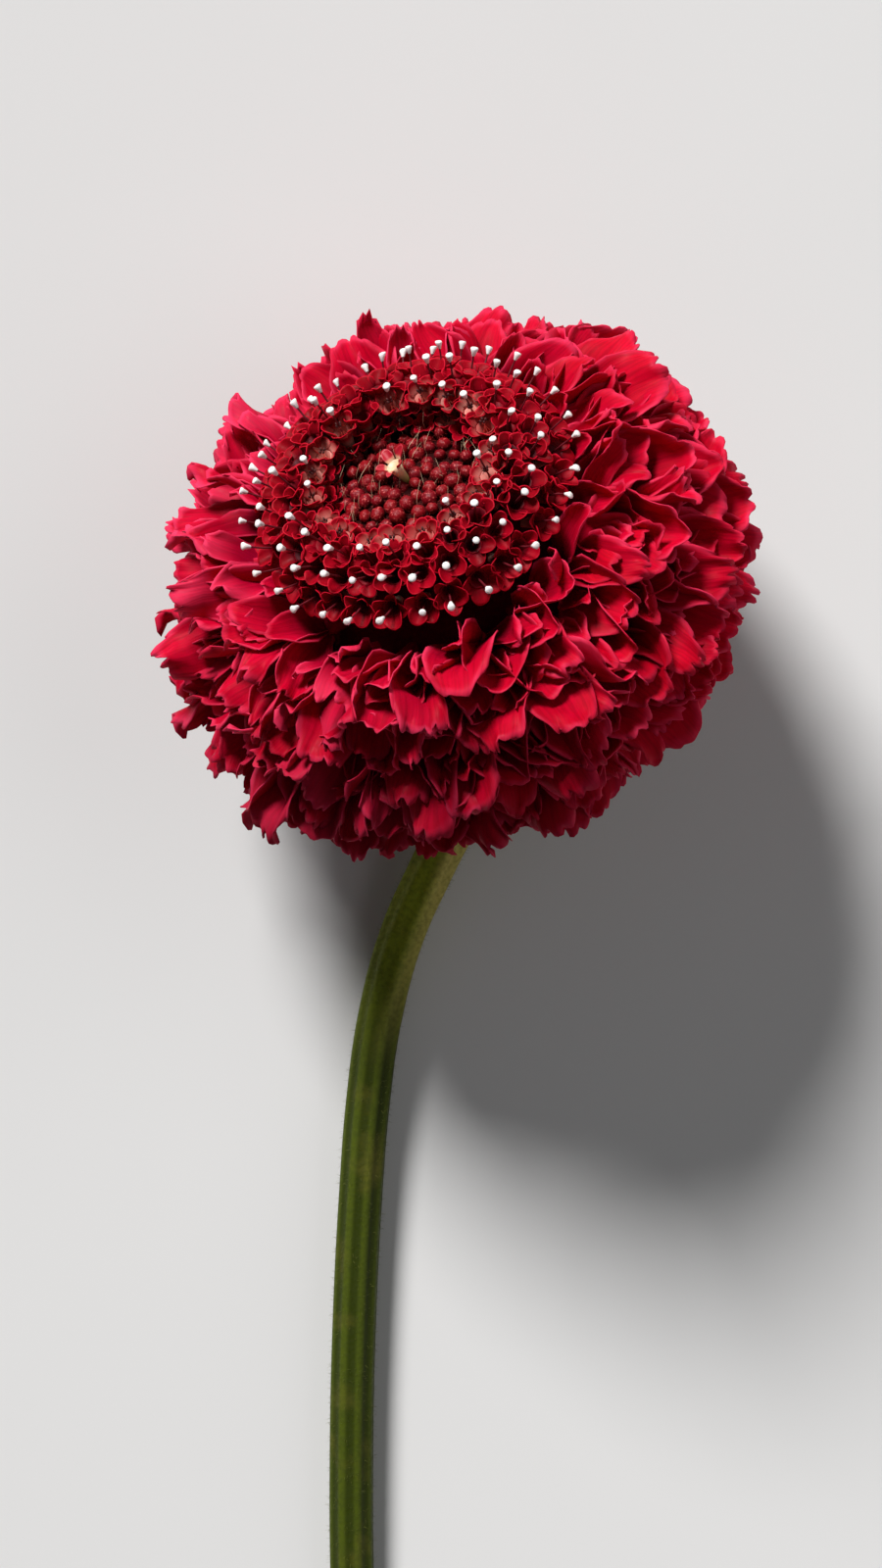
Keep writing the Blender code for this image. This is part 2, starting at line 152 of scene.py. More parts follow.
# Tubes in mm, each ring with its radius, its height and how far along the petal it counts
RAY_TUBE = ((0.4, 0.0, -1.0), (0.6, 3.0, -0.5), (1.0, 5.6, 0.0))
CROWN_TUBE = (
    (0.34, -5.0, -1.0),
    (0.42, -3.0, -0.7),
    (0.66, -1.5, -0.35),
    (0.98, -0.25, -0.02),
    (0.86, -0.22, 0.0),
    (0.52, -1.4, 0.0),
    (0.18, -2.0, 0.0),
)
STAMEN = ((0.04, -1.2, 0.0), (0.035, 0.5, 0.3), (0.10, 0.55, 1.0), (0.13, 0.75, 1.0), (0.07, 0.95, 1.0))

# Radius and height in mm of the solids turned about the head's axis
RAY_CORE = ((6.3, 7.3), (13.0, 6.8), (15.2, 3.5), (15.5, 0.0), (14.6, -4.2), (12.0, -5.6))
RAY_CORE += ((6.3, -5.6), RAY_CORE[0])
GOBLET_TOP = ((0.0, 12.0), (8.5, 12.0))
GOBLET_FOOT = ((12.2, 11.8), (10.2, 10.6), (7.4, 7.9), (0.0, 7.9))
GOBLET_DEPTH = 2.8
GOBLET_STEPS = 4
CUSHION = ((0.0, 15.7), (4.1, 15.5), (7.6, 14.9), (8.3, 14.0), (8.2, 12.3), (0.0, 12.3))
COLLAR = ((6.3, -6.3), (7.8, -6.3), (7.9, -7.4), (7.2, -8.4), (4.9, -8.4), (6.3, -6.3))
TURN_STEPS = 48
SMALL_TURN_STEPS = 40
STALK_TOP = ((0.0, 7.6), (4.8, 7.6), (6.0, 6.0), (6.0, -6.4), (4.5, -8.5), (3.2, -10.4))
STALK_TOP += ((2.2, -12.2), (0.0, -12.2))

# The stalk's middle line in mm: its place from the head's centre, its height over the floor and
# its radius
STALK_LINE = (
    (1.75, -3.4, 19.4, 2.55),
    (2.3, -5.6, 16.6, 2.52),
    (2.85, -9.4, 12.0, 2.49),
    (2.75, -15.4, 7.9, 2.47),
    (0.8, -22.4, 5.5, 2.44),
    (-2.5, -29.3, 4.3, 2.41),
    (-5.7, -36.5, 3.6, 2.38),
    (-8.0, -45.0, 3.15, 2.35),
    (-9.3, -54.0, 2.95, 2.33),
    (-10.1, -64.0, 2.85, 2.3),
    (-10.8, -78.0, 2.7, 2.3),
    (-11.1, -92.0, 2.6, 2.3),
    (-11.0, -106.0, 2.4, 2.3),
    (-10.4, -120.0, 2.25, 2.3),
    (-9.4, -134.0, 2.1, 2.3),
)
STALK_SLOPE = 0.37
STALK_STEP = 0.7 * MM
STALK_SIDES = 56
CUT_BEFORE_END = 4.0
CUT_SLANT = math.radians(38)
RIND = 0.25 * MM
PITH = 0.35 * MM
PITH_DIP = 0.04 * MM

# Along Y: where the petals' painted shade on the head's lower side fades out, and where the painted light
# on the stalk's top begins
PAINTED_SHADE_SPAN = (HEAD_CENTRE.y - 31 * MM, HEAD_CENTRE.y - 5 * MM)
PAINTED_LIGHT_START = HEAD_CENTRE.y - 28 * MM
PAINTED_LIGHT_LENGTH = 24 * MM

# The stage
KEY_SPOT = Vector((-0.48, 1.02, 0.80))
KEY_ANGLE = math.radians(18)
FILL_SPOT = Vector((0.58, 0.16, 0.50))
FILL_SIZE = 0.70
SKY = (0.9, 0.95, 1.0, 1.0)
SKY_STRENGTH = 0.09
CAMERA_ASIDE = (-1.57 * MM, -20.5 * MM)

MARKS = ("along", "across", "edge")


def sway(draw, most):
    """A random number that is up to that far from nought."""
    return draw.uniform(-most, most)


def turned(axes, *angles):
    """A turn about those axes, one after the other."""
    matrix = Matrix()
    for axis, angle in zip(axes, angles):
        matrix = matrix @ Matrix.Rotation(angle, 4, axis)
    return matrix


def direction(polar, azimuth):
    """The unit vector at that angle from the head's axis."""
    flat = math.sin(polar)
    return Vector((flat * math.cos(azimuth), flat * math.sin(azimuth), math.cos(polar)))


def spot_at(radius, azimuth, height):
    """The point that far from the head's axis, round it and up it."""
    return direction(math.pi / 2, azimuth) * radius + Vector((0, 0, height))


def globe_reach(polar):
    """From the head's centre to the globe's surface at that angle from its axis."""
    across = math.sin(polar) / HEAD_RADIUS
    along = math.cos(polar) / HEAD_HALF_DEPTH
    return 1.0 / math.hypot(across, along)


def standing(spot, axis, hint, spin=0.0):
    """The place that turns +Z to the axis and +X as near as it can to the hint, then spins."""
    z = axis.normalized()
    x = (hint - z * hint.dot(z)).normalized()
    upright = Matrix((x, z.cross(x), z)).transposed().to_4x4()
    return Matrix.Translation(spot) @ upright @ Matrix.Rotation(spin, 4, "Z")


def azimuths(draw, count, wander, offset=0.0):
    """Angles once round the head, each a little astray."""
    for k in range(count):
        yield math.tau * (k + offset + sway(draw, wander)) / count


HEAD = Matrix.Translation(HEAD_CENTRE) @ turned("ZX", HEAD_TURN, -HEAD_TILT)


@dataclass
class Place:
    """Where one repeat goes, in the head's frame, with its size, shape number and tint."""

    matrix: Matrix
    size: float
    shape: int
    tint: float
    pale: float = 0.0


def ray_places(shapes):
    """The rings of ray florets, from the valley under the crown to the underside."""
    draw = random.Random(RAY_SEED)
    pick = random.Random(RAY_SEED + 2)
    rings = []
    for ring in range(RAY_RINGS):
        share = ring / (RAY_RINGS - 1)
        polar = RAY_FIRST_ANGLE + share * (RAY_LAST_ANGLE - RAY_FIRST_ANGLE)
        count = round(math.tau * globe_reach(polar) * math.sin(polar) / RAY_SPACING)
        places = []
        for azimuth in azimuths(draw, count, RAY_WANDER, ring % 2 / 2):
            near = max(0.0, -math.sin(azimuth))
            far = max(0.0, math.sin(azimuth))
            angle = polar + VALLEY_DIP * (1.0 - share) * near
            angle += math.radians(sway(draw, RAY_NOD_DEGREES))
            stretch = 1.0 + FAR_STRETCH * (1.0 - share) * far - NEAR_TRIM * share * near
            reach = globe_reach(angle) * stretch * (1.0 + draw.uniform(-0.04, 0.045))
            twist = math.radians(sway(draw, RAY_TWIST_DEGREES))
            out = direction(angle, azimuth)
            down = direction(angle + math.pi / 2, azimuth)
            matrix = standing(out * RAY_ROOT, out, down.cross(out), -twist)
            size = (reach - RAY_ROOT) / FLORET_LENGTH * pick.uniform(0.935, 1.075)
            frilly = 0.5 - 0.5 * math.cos(azimuth - SMOOTH_SIDE)
            shape = abs(round(frilly * (shapes - 1) + sway(pick, 0.45) * shapes))
            shape = min(shape, 2 * (shapes - 1) - shape)
            tint = 0.5 * frilly + pick.uniform(0.0, 0.5)
            places.append(Place(matrix, size, shape, tint))
        rings.append(places)
    return rings


def crown_line(share):
    """Radius, height and splay of a crown floret's mouth, from the inner ring to the rim."""
    radius = CROWN_INNER + share * (CROWN_OUTER - CROWN_INNER)
    height = CROWN_HEIGHT + CROWN_SWELL * math.sin(math.pi * share) - CROWN_FALL * share**2
    return radius, height, CROWN_SPLAY * share**1.2


def crown_places(shapes):
    """The crown's florets, and which of them hold out a style."""
    draw = random.Random(CROWN_SEED)
    pick = random.Random(CROWN_SEED + 2)
    places = []
    styled = []
    for ring in range(CROWN_RINGS):
        share = ring / (CROWN_RINGS - 1)
        radius, height, splay = crown_line(share)
        count = round(math.tau * radius / CROWN_SPACING)
        for azimuth in azimuths(draw, count, CROWN_WANDER, ring % 2 / 2):
            lean = direction(splay + math.radians(sway(draw, CROWN_NOD_DEGREES)), azimuth)
            mouth = spot_at(radius, azimuth, height + sway(draw, 0.35) * MM)
            size = draw.uniform(0.9, 1.08)
            spin = draw.uniform(0.0, math.tau / FLORET_LOBES)
            matrix = standing(mouth, lean, mouth.cross(UP), spin)
            place = Place(matrix, size, pick.randrange(shapes), pick.random())
            if ring == 0 and pick.random() < 0.6:
                place.pale = pick.uniform(0.5, 1.0)
            places.append(place)
            if draw.random() < 0.5 + 0.5 * share:
                styled.append(place)
    return places, styled


def half_open_places(shapes):
    """The small florets between the crown and the buds, still half closed."""
    draw = random.Random(CROWN_SEED + 4)
    for k, azimuth in enumerate(azimuths(draw, HALF_OPEN, 0.25)):
        inner = k % 2
        radius = HALF_OPEN_RADIUS + (sway(draw, 0.3) - 0.7 * inner) * MM
        height = HALF_OPEN_HEIGHT + (draw.uniform(-0.5, 0.4) - 1.0 * inner) * MM
        mouth = spot_at(radius, azimuth, height)
        lean = direction(math.radians(draw.uniform(-16.0, 6.0)), azimuth)
        matrix = standing(mouth, lean, mouth.cross(UP), draw.uniform(0.0, math.tau))
        size = draw.uniform(0.62, 0.85) - 0.12 * inner
        pale = draw.random() if draw.random() < 0.35 else 0.0
        yield Place(matrix, size, draw.randrange(shapes), draw.random(), pale)


def bud_places(shapes):
    """The closed buds, in a spiral on their cushion."""
    draw = random.Random(BUD_SEED)
    pick = random.Random(BUD_SEED + 2)
    for k in range(BUDS):
        azimuth = k * GOLDEN_ANGLE
        radius = (CUSHION_RADIUS - 0.35 * MM) * math.sqrt((k + 0.5) / BUDS)
        size = draw.uniform(0.76, 1.14)
        lift = draw.uniform(-0.1, 0.7) * MM
        height = CUSHION_TOP - CUSHION_FALL * (radius / CUSHION_RADIUS) ** 2 + lift
        lean = direction(0.35 * radius / CUSHION_RADIUS + sway(draw, 0.2), azimuth)
        spin = draw.uniform(0, math.tau)
        matrix = standing(spot_at(radius, azimuth, height), lean, SIDEWAYS, spin)
        yield Place(matrix, size, pick.randrange(shapes), pick.random())


def bristle_places():
    """Long bristles that stand between the buds."""
    draw = random.Random(BUD_SEED + 4)
    for _ in range(BRISTLES):
        radius = CUSHION_RADIUS * math.sqrt(draw.random())
        root = spot_at(radius, draw.uniform(0.0, math.tau), CUSHION_TOP - 0.5 * MM)
        lean = direction(draw.uniform(0.0, 0.7), draw.uniform(0.0, math.tau))
        yield Place(standing(root, lean, SIDEWAYS), draw.uniform(0.6, 1.15), 0, draw.random())


def bract_places(shapes):
    """The bracts, round their collar under the head."""
    draw = random.Random(BRACTS)
    for k, azimuth in enumerate(azimuths(draw, BRACTS, 0.15)):
        size = draw.uniform(0.85, 1.1)
        fall = BRACT_FALL + math.radians(sway(draw, 4))
        out = direction(math.pi / 2 + fall, azimuth)
        root = spot_at(COLLAR_RADIUS - 1.2 * MM, azimuth, COLLAR_HEIGHT)
        matrix = standing(root, out, direction(fall, azimuth).cross(out))
        yield Place(matrix, size, k % shapes, draw.random())


# Meshes


@dataclass
class Lobe:
    """One petal lobe. It grows along its own Z from the root, its inner face looks to -Y."""

    length: float
    half_width: float
    root: Vector = field(default_factory=Vector)
    turn: Matrix = field(default_factory=Matrix)
    neck: float = 0.25
    widest: float = 0.5
    droop: float = 0.0
    curl: float = 0.0
    cup: float = 0.0
    flare: float = 0.0
    pleat: float = 0.0
    frill: float = 0.0
    waves: float = 2.0
    crimp: float = 0.0
    teeth: float = 0.0
    phase: float = 0.0

    def outline(self, u, v):
        """Across and along the flat lobe: a stalk that widens into half an ellipse."""
        if v < self.widest:
            grown = math.sin(v / self.widest * math.pi / 2) ** 1.3
            return u * (self.neck + (1.0 - self.neck) * grown), v
        upper = (v - self.widest) / (1.0 - self.widest)
        across = u * math.sqrt(1.0 - upper * upper / 2.0)
        along = upper * math.sqrt(1.0 - u * u / 2.0)
        return across, self.widest + along * (1.0 - self.widest)

    def margin(self, u, v):
        """How near to the free edge that point is, up to 1, and how far round the edge."""
        upper = max(0.0, (v - self.widest) / (1.0 - self.widest))
        near = 1.0 - (1.0 - u * u) * (1.0 - upper * upper)
        return near, math.atan2(u, 0.2 + upper) + u * min(v, self.widest)

    def point(self, u, v):
        """The middle surface, u from -1 to 1 across it, v from 0 to 1 along it."""
        near, around = self.margin(u, v)
        across, along = self.outline(u, v)
        scallop = 1.0 - math.sqrt(abs(math.cos(SCALLOPS * around + self.phase)))
        tooth = 1.0 - self.teeth * near**3 * v * scallop
        broad = near**1.5 * math.sin(math.pi * self.waves * around + self.phase)
        fine = near**4 * math.sin(CRIMPS * self.waves * around + 2.0 * self.phase)
        wave = v * (broad + self.crimp * fine)
        lift = self.droop * v * v + self.curl * near**2 * v
        lift += self.pleat * v * math.sin(PLEATS * u + 2.0 * self.phase)
        hollow = self.cup * (1.0 - self.flare * v) * self.half_width
        lift += self.frill * wave - hollow * across * across
        flat = Vector((self.half_width * across * tooth, lift, self.length * along * tooth))
        return self.root + self.turn.to_3x3() @ flat


def add_lobe(bm, lobe, columns, rows, thickness):
    """Adds a closed lobe, with how far along, across and near to its edge each point is."""
    layers = [bm.verts.layers.float[name] for name in MARKS]
    middle = []
    for row in range(rows + 1):
        v = 1.0 - (1.0 - row / rows) ** 1.25
        line = []
        for column in range(columns + 1):
            step = 2 * column / columns - 1
            u = 0.65 * step + 0.35 * math.sin(math.pi / 2 * step)
            line.append((lobe.point(u, v), (v, u, math.sqrt(lobe.margin(u, v)[0]))))
        middle.append(line)
    sheets = []
    for side in (1.0, -1.0):
        sheet = []
        for row, line in enumerate(middle):
            verts = []
            for column, (spot, marks) in enumerate(line):
                right = line[min(column + 1, columns)][0] - line[max(column - 1, 0)][0]
                up = middle[min(row + 1, rows)][column][0] - middle[max(row - 1, 0)][column][0]
                depth = thickness * (1.0 - 0.4 * marks[2]) / 2.0
                vert = bm.verts.new(spot + right.cross(up).normalized() * (side * depth))
                for layer, mark in zip(layers, marks):
                    vert[layer] = mark
                verts.append(vert)
            sheet.append(verts)
        sheets.append(sheet)
    front, back = sheets
    for row in range(rows):
        for k in range(columns):
            ring = [(row, k), (row, k + 1), (row + 1, k + 1), (row + 1, k)]
            bm.faces.new([front[r][c] for r, c in ring])
            bm.faces.new([back[r][c] for r, c in reversed(ring)])
    around = [(0, k) for k in range(columns)]
    around += [(row, columns) for row in range(rows)]
    around += [(rows, k) for k in range(columns, 0, -1)]
    around += [(row, 0) for row in range(rows, 0, -1)]
    for (r, c), (next_r, next_c) in zip(around, around[1:] + around[:1]):
        bm.faces.new((front[next_r][next_c], front[r][c], back[r][c], back[next_r][next_c]))


def in_mm(line):
    """A tube's line in metres, from one in mm."""
    return [(radius * MM, height * MM, along) for radius, height, along in line]


def add_tube(bm, line, sides):
    """Adds a tube of (radius, height, along), closed at both ends."""
    layer = bm.verts.layers.float["along"]
    rings = []
    for radius, height, along in line:
        ring = []
        for k in range(sides):
            spot = direction(math.pi / 2, math.tau * k / sides) * radius
            vert = bm.verts.new((spot.x, spot.y, height))
            vert[layer] = along
            ring.append(vert)
        rings.append(ring)
    for low, high in zip(rings, rings[1:]):
        for k in range(sides):
            other = (k + 1) % sides
            bm.faces.new((low[k], low[other], high[other], high[k]))
    bm.faces.new(list(reversed(rings[0])))
    bm.faces.new(rings[-1])


def add_ball(bm, radius, columns, rows):
    """Adds a ball with its poles on Z."""
    top = bm.verts.new((0.0, 0.0, radius))
    bottom = bm.verts.new((0.0, 0.0, -radius))
    rings = []
    for row in range(1, rows):
        spots = [direction(math.pi * row / rows, math.tau * k / columns) for k in range(columns)]
        rings.append([bm.verts.new(spot * radius) for spot in spots])
    for k in range(columns):
        other = (k + 1) % columns
        bm.faces.new((top, rings[0][k], rings[0][other]))
        for high, low in zip(rings, rings[1:]):
            bm.faces.new((high[k], low[k], low[other], high[other]))
        bm.faces.new((bottom, rings[-1][other], rings[-1][k]))


def bend(bm, lean, reach):
    """Leans what stands on the origin to +X, more the higher up."""
    for vert in bm.verts:
        vert.co.x += lean * max(0.0, vert.co.z) ** 2 / reach


def new_bmesh():
    """A mesh in the making, with the layers that the finishes read."""
    bm = bmesh.new()
    for name in MARKS:
        bm.verts.layers.float.new(name)
    return bm


def as_mesh(bm, name):
    """The finished mesh of one in the making."""
    mesh = bpy.data.meshes.new(name)
    bm.to_mesh(mesh)
    bm.free()
    mesh.shade_smooth()
    return mesh


def shown(name, data):
    """A new object in the scene."""
    made = bpy.data.objects.new(name, data)
    bpy.context.scene.collection.objects.link(made)
    return made


def shape_group(name, shapes):
    """A collection outside the scene, with the shapes that a scatter draws from."""
    group = bpy.data.collections.new(name)
    for number, bm in enumerate(shapes):
        mesh = as_mesh(bm, f"{name} {number}")
        group.objects.link(bpy.data.objects.new(mesh.name, mesh))
    return group


def ray_floret(number, settings):
    """A ray floret with three broad lobes and two small ones, frillier the higher its number."""
    draw = random.Random(RAY_SHAPE_SEED + number)
    bm = new_bmesh()
    throat = Vector((0, 0, FLORET_THROAT))
    frilly = number / max(1, settings.shapes - 1)
    frill = settings.frill * (0.42 + 0.8 * frilly) * draw.uniform(0.8, 1.2)
    for side in (-1, 0, 1):
        spread = side * draw.uniform(0.34, 0.66)
        lobe = Lobe(
            root=throat,
            turn=turned("YXZ", spread, -draw.uniform(-0.22, 0.34), sway(draw, 0.5) + 0.3 * side),
            length=settings.lobe_length * draw.uniform(0.86, 1.04),
            half_width=settings.lobe_width / 2 * draw.uniform(0.78, 1.18) * (1.0 - 0.38 * frilly),
            neck=0.22,
            widest=draw.uniform(0.48, 0.62),
            droop=draw.uniform(-0.2, 2.4) * MM,
            curl=draw.uniform(-0.7, 0.9) * MM,
            cup=draw.uniform(0.15, 0.85) + 0.35 * (1.0 - frilly),
            flare=0.15 + 0.4 * frilly,
            pleat=draw.uniform(0.0, 0.5) * frill,
            frill=frill * draw.uniform(0.7, 1.2),
            waves=draw.uniform(0.8, 1.5),
            crimp=0.25 + 0.25 * frilly,
            teeth=draw.uniform(0.05, 0.1) * (0.4 + frilly),
            phase=draw.uniform(0.0, math.tau),
        )
        add_lobe(bm, lobe, *BROAD_GRID, BLADE_THICKNESS)
    for side in (-1, 1):
        spread = side * draw.uniform(0.1, 0.6)
        lobe = Lobe(
            root=throat,
            turn=turned("YXZ", spread, draw.uniform(0.1, 0.5), sway(draw, 1.2)),
            length=settings.lobe_length * draw.uniform(0.6, 0.9),
            half_width=settings.lobe_width / 2 * draw.uniform(0.4, 0.62),
            droop=draw.uniform(-0.8, 1.4) * MM,
            curl=sway(draw, 0.6) * MM,
            cup=draw.uniform(0.2, 0.9),
            frill=frill * draw.uniform(0.5, 0.9),
            waves=draw.uniform(0.8, 1.3),
            teeth=0.08,
            phase=draw.uniform(0.0, math.tau),
        )
        add_lobe(bm, lobe, *SMALL_GRID, BLADE_THICKNESS)
    add_tube(bm, in_mm(RAY_TUBE), 6)
    return bm


def crown_floret(number, length, width, opening):
    """A disc floret: a funnel with five cupped lobes on its rim."""
    draw = random.Random(CROWN_SHAPE_SEED + number)
    bm = new_bmesh()
    for k in range(FLORET_LOBES):
        around = math.tau * k / FLORET_LOBES
        outer = 1.0 + 0.2 * math.cos(around + math.pi / FLORET_LOBES)
        splay = draw.uniform(*opening)
        lobe = Lobe(
            root=Matrix.Rotation(around, 3, "Z") @ Vector((0, FUNNEL_RADIUS, -FUNNEL_SINK)),
            turn=turned("ZXZ", around + sway(draw, 0.1), -splay, sway(draw, 0.2)),
            length=draw.uniform(0.9, 1.1) * outer * length,
            half_width=draw.uniform(0.9, 1.08) * outer * width / 2,
            neck=0.6,
            widest=0.4,
            droop=draw.uniform(-0.1, 0.2) * MM,
            curl=draw.uniform(-0.12, 0.05) * MM,
            cup=draw.uniform(0.4, 0.85),
            frill=draw.uniform(0.02, 0.08) * MM,
            waves=1.2,
            phase=draw.uniform(0.0, math.tau),
        )
        add_lobe(bm, lobe, *CROWN_GRID, CROWN_BLADE_THICKNESS)
    add_tube(bm, in_mm(CROWN_TUBE), 10)
    return bm


def stamens():
    """Four short filaments with dark anthers."""
    bm = new_bmesh()
    for k in range(STAMENS):
        start = len(bm.verts)
        add_tube(bm, in_mm(STAMEN), 6)
        bm.verts.ensure_lookup_table()
        turn = turned("ZX", math.tau * (k + 0.4) / STAMENS, 0.35)
        bmesh.ops.transform(bm, matrix=turn, verts=bm.verts[start:])
    return bm


def style(number, settings):
    """A thin style with its pale stigma, which widens to a blunt cap."""
    draw = random.Random(STYLE_SHAPE_SEED + number)
    bm = new_bmesh()
    reach = settings.style_reach * draw.uniform(0.85, 1.12)
    cap = settings.stigma_width / 2
    line = [
        (0.10 * MM, -1.4 * MM, 0.0),
        (0.10 * MM, reach * 0.5, 0.3),
        (0.09 * MM, reach - 0.1 * MM, 0.6),
        (0.17 * MM, reach, 1.0),
        (cap * 0.74, reach + 0.40 * MM, 1.0),
        (cap, reach + 0.66 * MM, 1.0),
        (cap * 0.86, reach + 0.78 * MM, 1.0),
        (cap * 0.35, reach + 0.82 * MM, 1.0),
    ]
    add_tube(bm, line, 10)
    bend(bm, sway(draw, 0.16), reach)
    return bm


def bud(number, settings):
    """A closed bud, five rounded lobes folded over each other."""
    draw = random.Random(BUD_SHAPE_SEED + number)
    bm = new_bmesh()
    along, across = (bm.verts.layers.float[name] for name in ("along", "across"))
    radius = settings.bud_width / 2
    add_ball(bm, radius, *BUD_GRID)
    for vert in bm.verts:
        height = vert.co.z / radius
        angle = math.atan2(vert.co.y, vert.co.x)
        fold = abs(math.sin(BUD_LOBES / 2 * angle + 0.5 * height)) ** 0.5
        pinch = 0.16 * (1.0 - fold) * max(0.0, 1.0 - abs(height - 0.5))
        vert.co *= 1.0 - pinch
        vert.co.z -= 0.10 * radius * max(0.0, height) ** 6
        vert[along] = (height + 1.0) / 2.0
        vert[across] = fold
        if height < 0:
            vert.co.x *= 1.0 + 0.25 * height
            vert.co.y *= 1.0 + 0.25 * height
            vert.co.z *= 1.5
    squeeze = draw.uniform(0.9, 1.1)
    bmesh.ops.scale(bm, vec=(squeeze, 1.0 / squeeze, draw.uniform(0.92, 1.12)), verts=bm.verts)
    return bm


def bract(number, settings):
    """A bract: a lance-shaped leaf with a keel."""
    draw = random.Random(BRACT_SHAPE_SEED + number)
    bm = new_bmesh()
    lobe = Lobe(
        length=settings.bract_length,
        half_width=settings.bract_width / 2,
        neck=0.55,
        widest=0.3,
        droop=-draw.uniform(0.4, 1.3) * MM,
        cup=0.35,
        frill=draw.uniform(0.05, 0.2) * MM,
        waves=1.0,
        phase=draw.uniform(0.0, math.tau),
    )
    add_lobe(bm, lobe, *BRACT_GRID, BRACT_THICKNESS)
    return bm


def hair(length, radius):
    """One hair, a thin bent spike."""
    bm = new_bmesh()
    middle = (radius * 0.8, length * 0.5, 0.5)
    add_tube(bm, [(radius, -0.05 * length, 0.0), middle, (radius * 0.15, length, 1.0)], 3)
    bend(bm, 0.22, length)
    return bm


def turned_solid(name, profile, steps, finish):
    """A solid turned about the head's axis from (radius, height) in mm, top to bottom outside."""
    bm = new_bmesh()
    points = [bm.verts.new((radius * MM, 0.0, height * MM)) for radius, height in profile]
    for start, end in zip(points, points[1:]):
        bm.edges.new((start, end))
    made = shown(name, as_mesh(bm, name))
    screw = made.modifiers.new("turn", "SCREW")
    screw.steps = steps
    screw.render_steps = steps
    screw.use_merge_vertices = True
    screw.merge_threshold = 1e-6
    screw.use_smooth_shade = True
    made.data = evaluated_mesh(made)
    made.modifiers.clear()
    made.data.transform(HEAD)
    made.data.materials.append(finish)
    return made


def goblet_profile():
    """The crown's core: its wall follows the roots of the florets."""
    wall = []
    for k in range(GOBLET_STEPS + 1):
        share = k / GOBLET_STEPS
        radius, height, splay = crown_line(share)
        inset = GOBLET_DEPTH * math.sin(splay) - 0.4 * (1 - share)
        wall.append((radius / MM - inset, height / MM - GOBLET_DEPTH * math.cos(splay)))
    return [*GOBLET_TOP, *wall, *GOBLET_FOOT]


# Nodes


def evaluated_mesh(obj):
    """The mesh of an object in the scene, with its modifiers applied."""
    graph = bpy.context.evaluated_depsgraph_get()
    graph.update()
    return bpy.data.meshes.new_from_object(obj.evaluated_get(graph))


class Nodes:
    """A node tree in the making."""

    def fill(self, node, inputs):
        """Links or sets a node's inputs."""
        for name, value in inputs.items():
            socket = node.inputs[name]
            if isinstance(value, bpy.types.NodeSocket):
                self.tree.links.new(value, socket)
            elif socket.type == "RGBA":
                socket.default_value = (*value, 1.0)
            else:
                socket.default_value = value

    def add(self, kind, inputs=None, output=0, **properties):
        """An output of a new node, with its properties and inputs set."""
        made = self.tree.nodes.new(kind)
        for name, value in properties.items():
            setattr(made, name, value)
        self.fill(made, inputs or {})
        return made.outputs[output]

    def math(self, operation, first, second=0.0):
        """A math node's output."""
        return self.add("ShaderNodeMath", {0: first, 1: second}, operation=operation)

    def times(self, first, second):
        """The product of two values."""
        return self.math("MULTIPLY", first, second)

    def parts(self, vector):
        """The three parts of a vector."""
        return self.add("ShaderNodeSeparateXYZ", {0: vector}).node.outputs

    def vector(self, *parts):
        """The vector of three parts."""
        return self.add("ShaderNodeCombineXYZ", dict(enumerate(parts)))


class Tree(Nodes):
    """Geometry nodes with named inputs, which end in a press on the floor and a finish."""

    def __init__(self, name, inputs):
        self.tree = bpy.data.node_groups.new(name, "GeometryNodeTree")
        sockets = self.tree.interface
        sockets.new_socket("Geometry", in_out="OUTPUT", socket_type="NodeSocketGeometry")
        self.named = {}
        inputs = {"Geometry": "Geometry", **inputs, "Press height": "Float", "Finish": "Material"}
        for title, kind in inputs.items():
            made = sockets.new_socket(title, in_out="INPUT", socket_type=f"NodeSocket{kind}")
            self.named[title] = made.identifier
        self.given = self.tree.nodes.new("NodeGroupInput").outputs

    def position(self):
        """Where the point is."""
        return self.add("GeometryNodeInputPosition")

    def attribute(self, name, kind="FLOAT"):
        """A named attribute's output."""
        return self.add("GeometryNodeInputNamedAttribute", {"Name": name}, data_type=kind)

    def copies(self, inputs):
        """Real copies of the shapes on points."""
        inside = {"Collection": self.given["Shapes"], "Separate Children": True, "Reset Children": True}
        shapes = self.add("GeometryNodeCollectionInfo", inside)
        inputs = {"Instance": shapes, "Pick Instance": True, **inputs}
        placed = self.add("GeometryNodeInstanceOnPoints", inputs)
        return self.add("GeometryNodeRealizeInstances", {0: placed})

    def end(self, geometry):
        """Squeezes what would go below the floor into a thin layer above it, and adds the finish."""
        height = self.given["Press height"]
        x, y, z = self.parts(self.position())
        above = self.math("SUBTRACT", z, height)
        low = self.math("DIVIDE", self.math("MINIMUM", above, 0.0), height)
        squeezed = self.times(self.math("EXPONENT", low), height)
        spot = self.vector(x, y, self.math("ADD", squeezed, self.math("MAXIMUM", above, 0.0)))
        pressed = self.add("GeometryNodeSetPosition", {"Geometry": geometry, "Position": spot})
        links = {"Geometry": pressed, "Material": self.given["Finish"]}
        painted = self.add("GeometryNodeSetMaterial", links)
        self.fill(self.tree.nodes.new("NodeGroupOutput"), {0: painted})
        return self

    def on(self, obj, name, values):
        """The piece that the tree makes from an object in the scene."""
        modifier = obj.modifiers.new(name, "NODES")
        modifier.node_group = self.tree
        for title, value in values.items():
            modifier[self.named[title]] = value
        mesh = evaluated_mesh(obj)
        mesh.name = name
        obj.modifiers.remove(modifier)
        return shown(name, mesh)


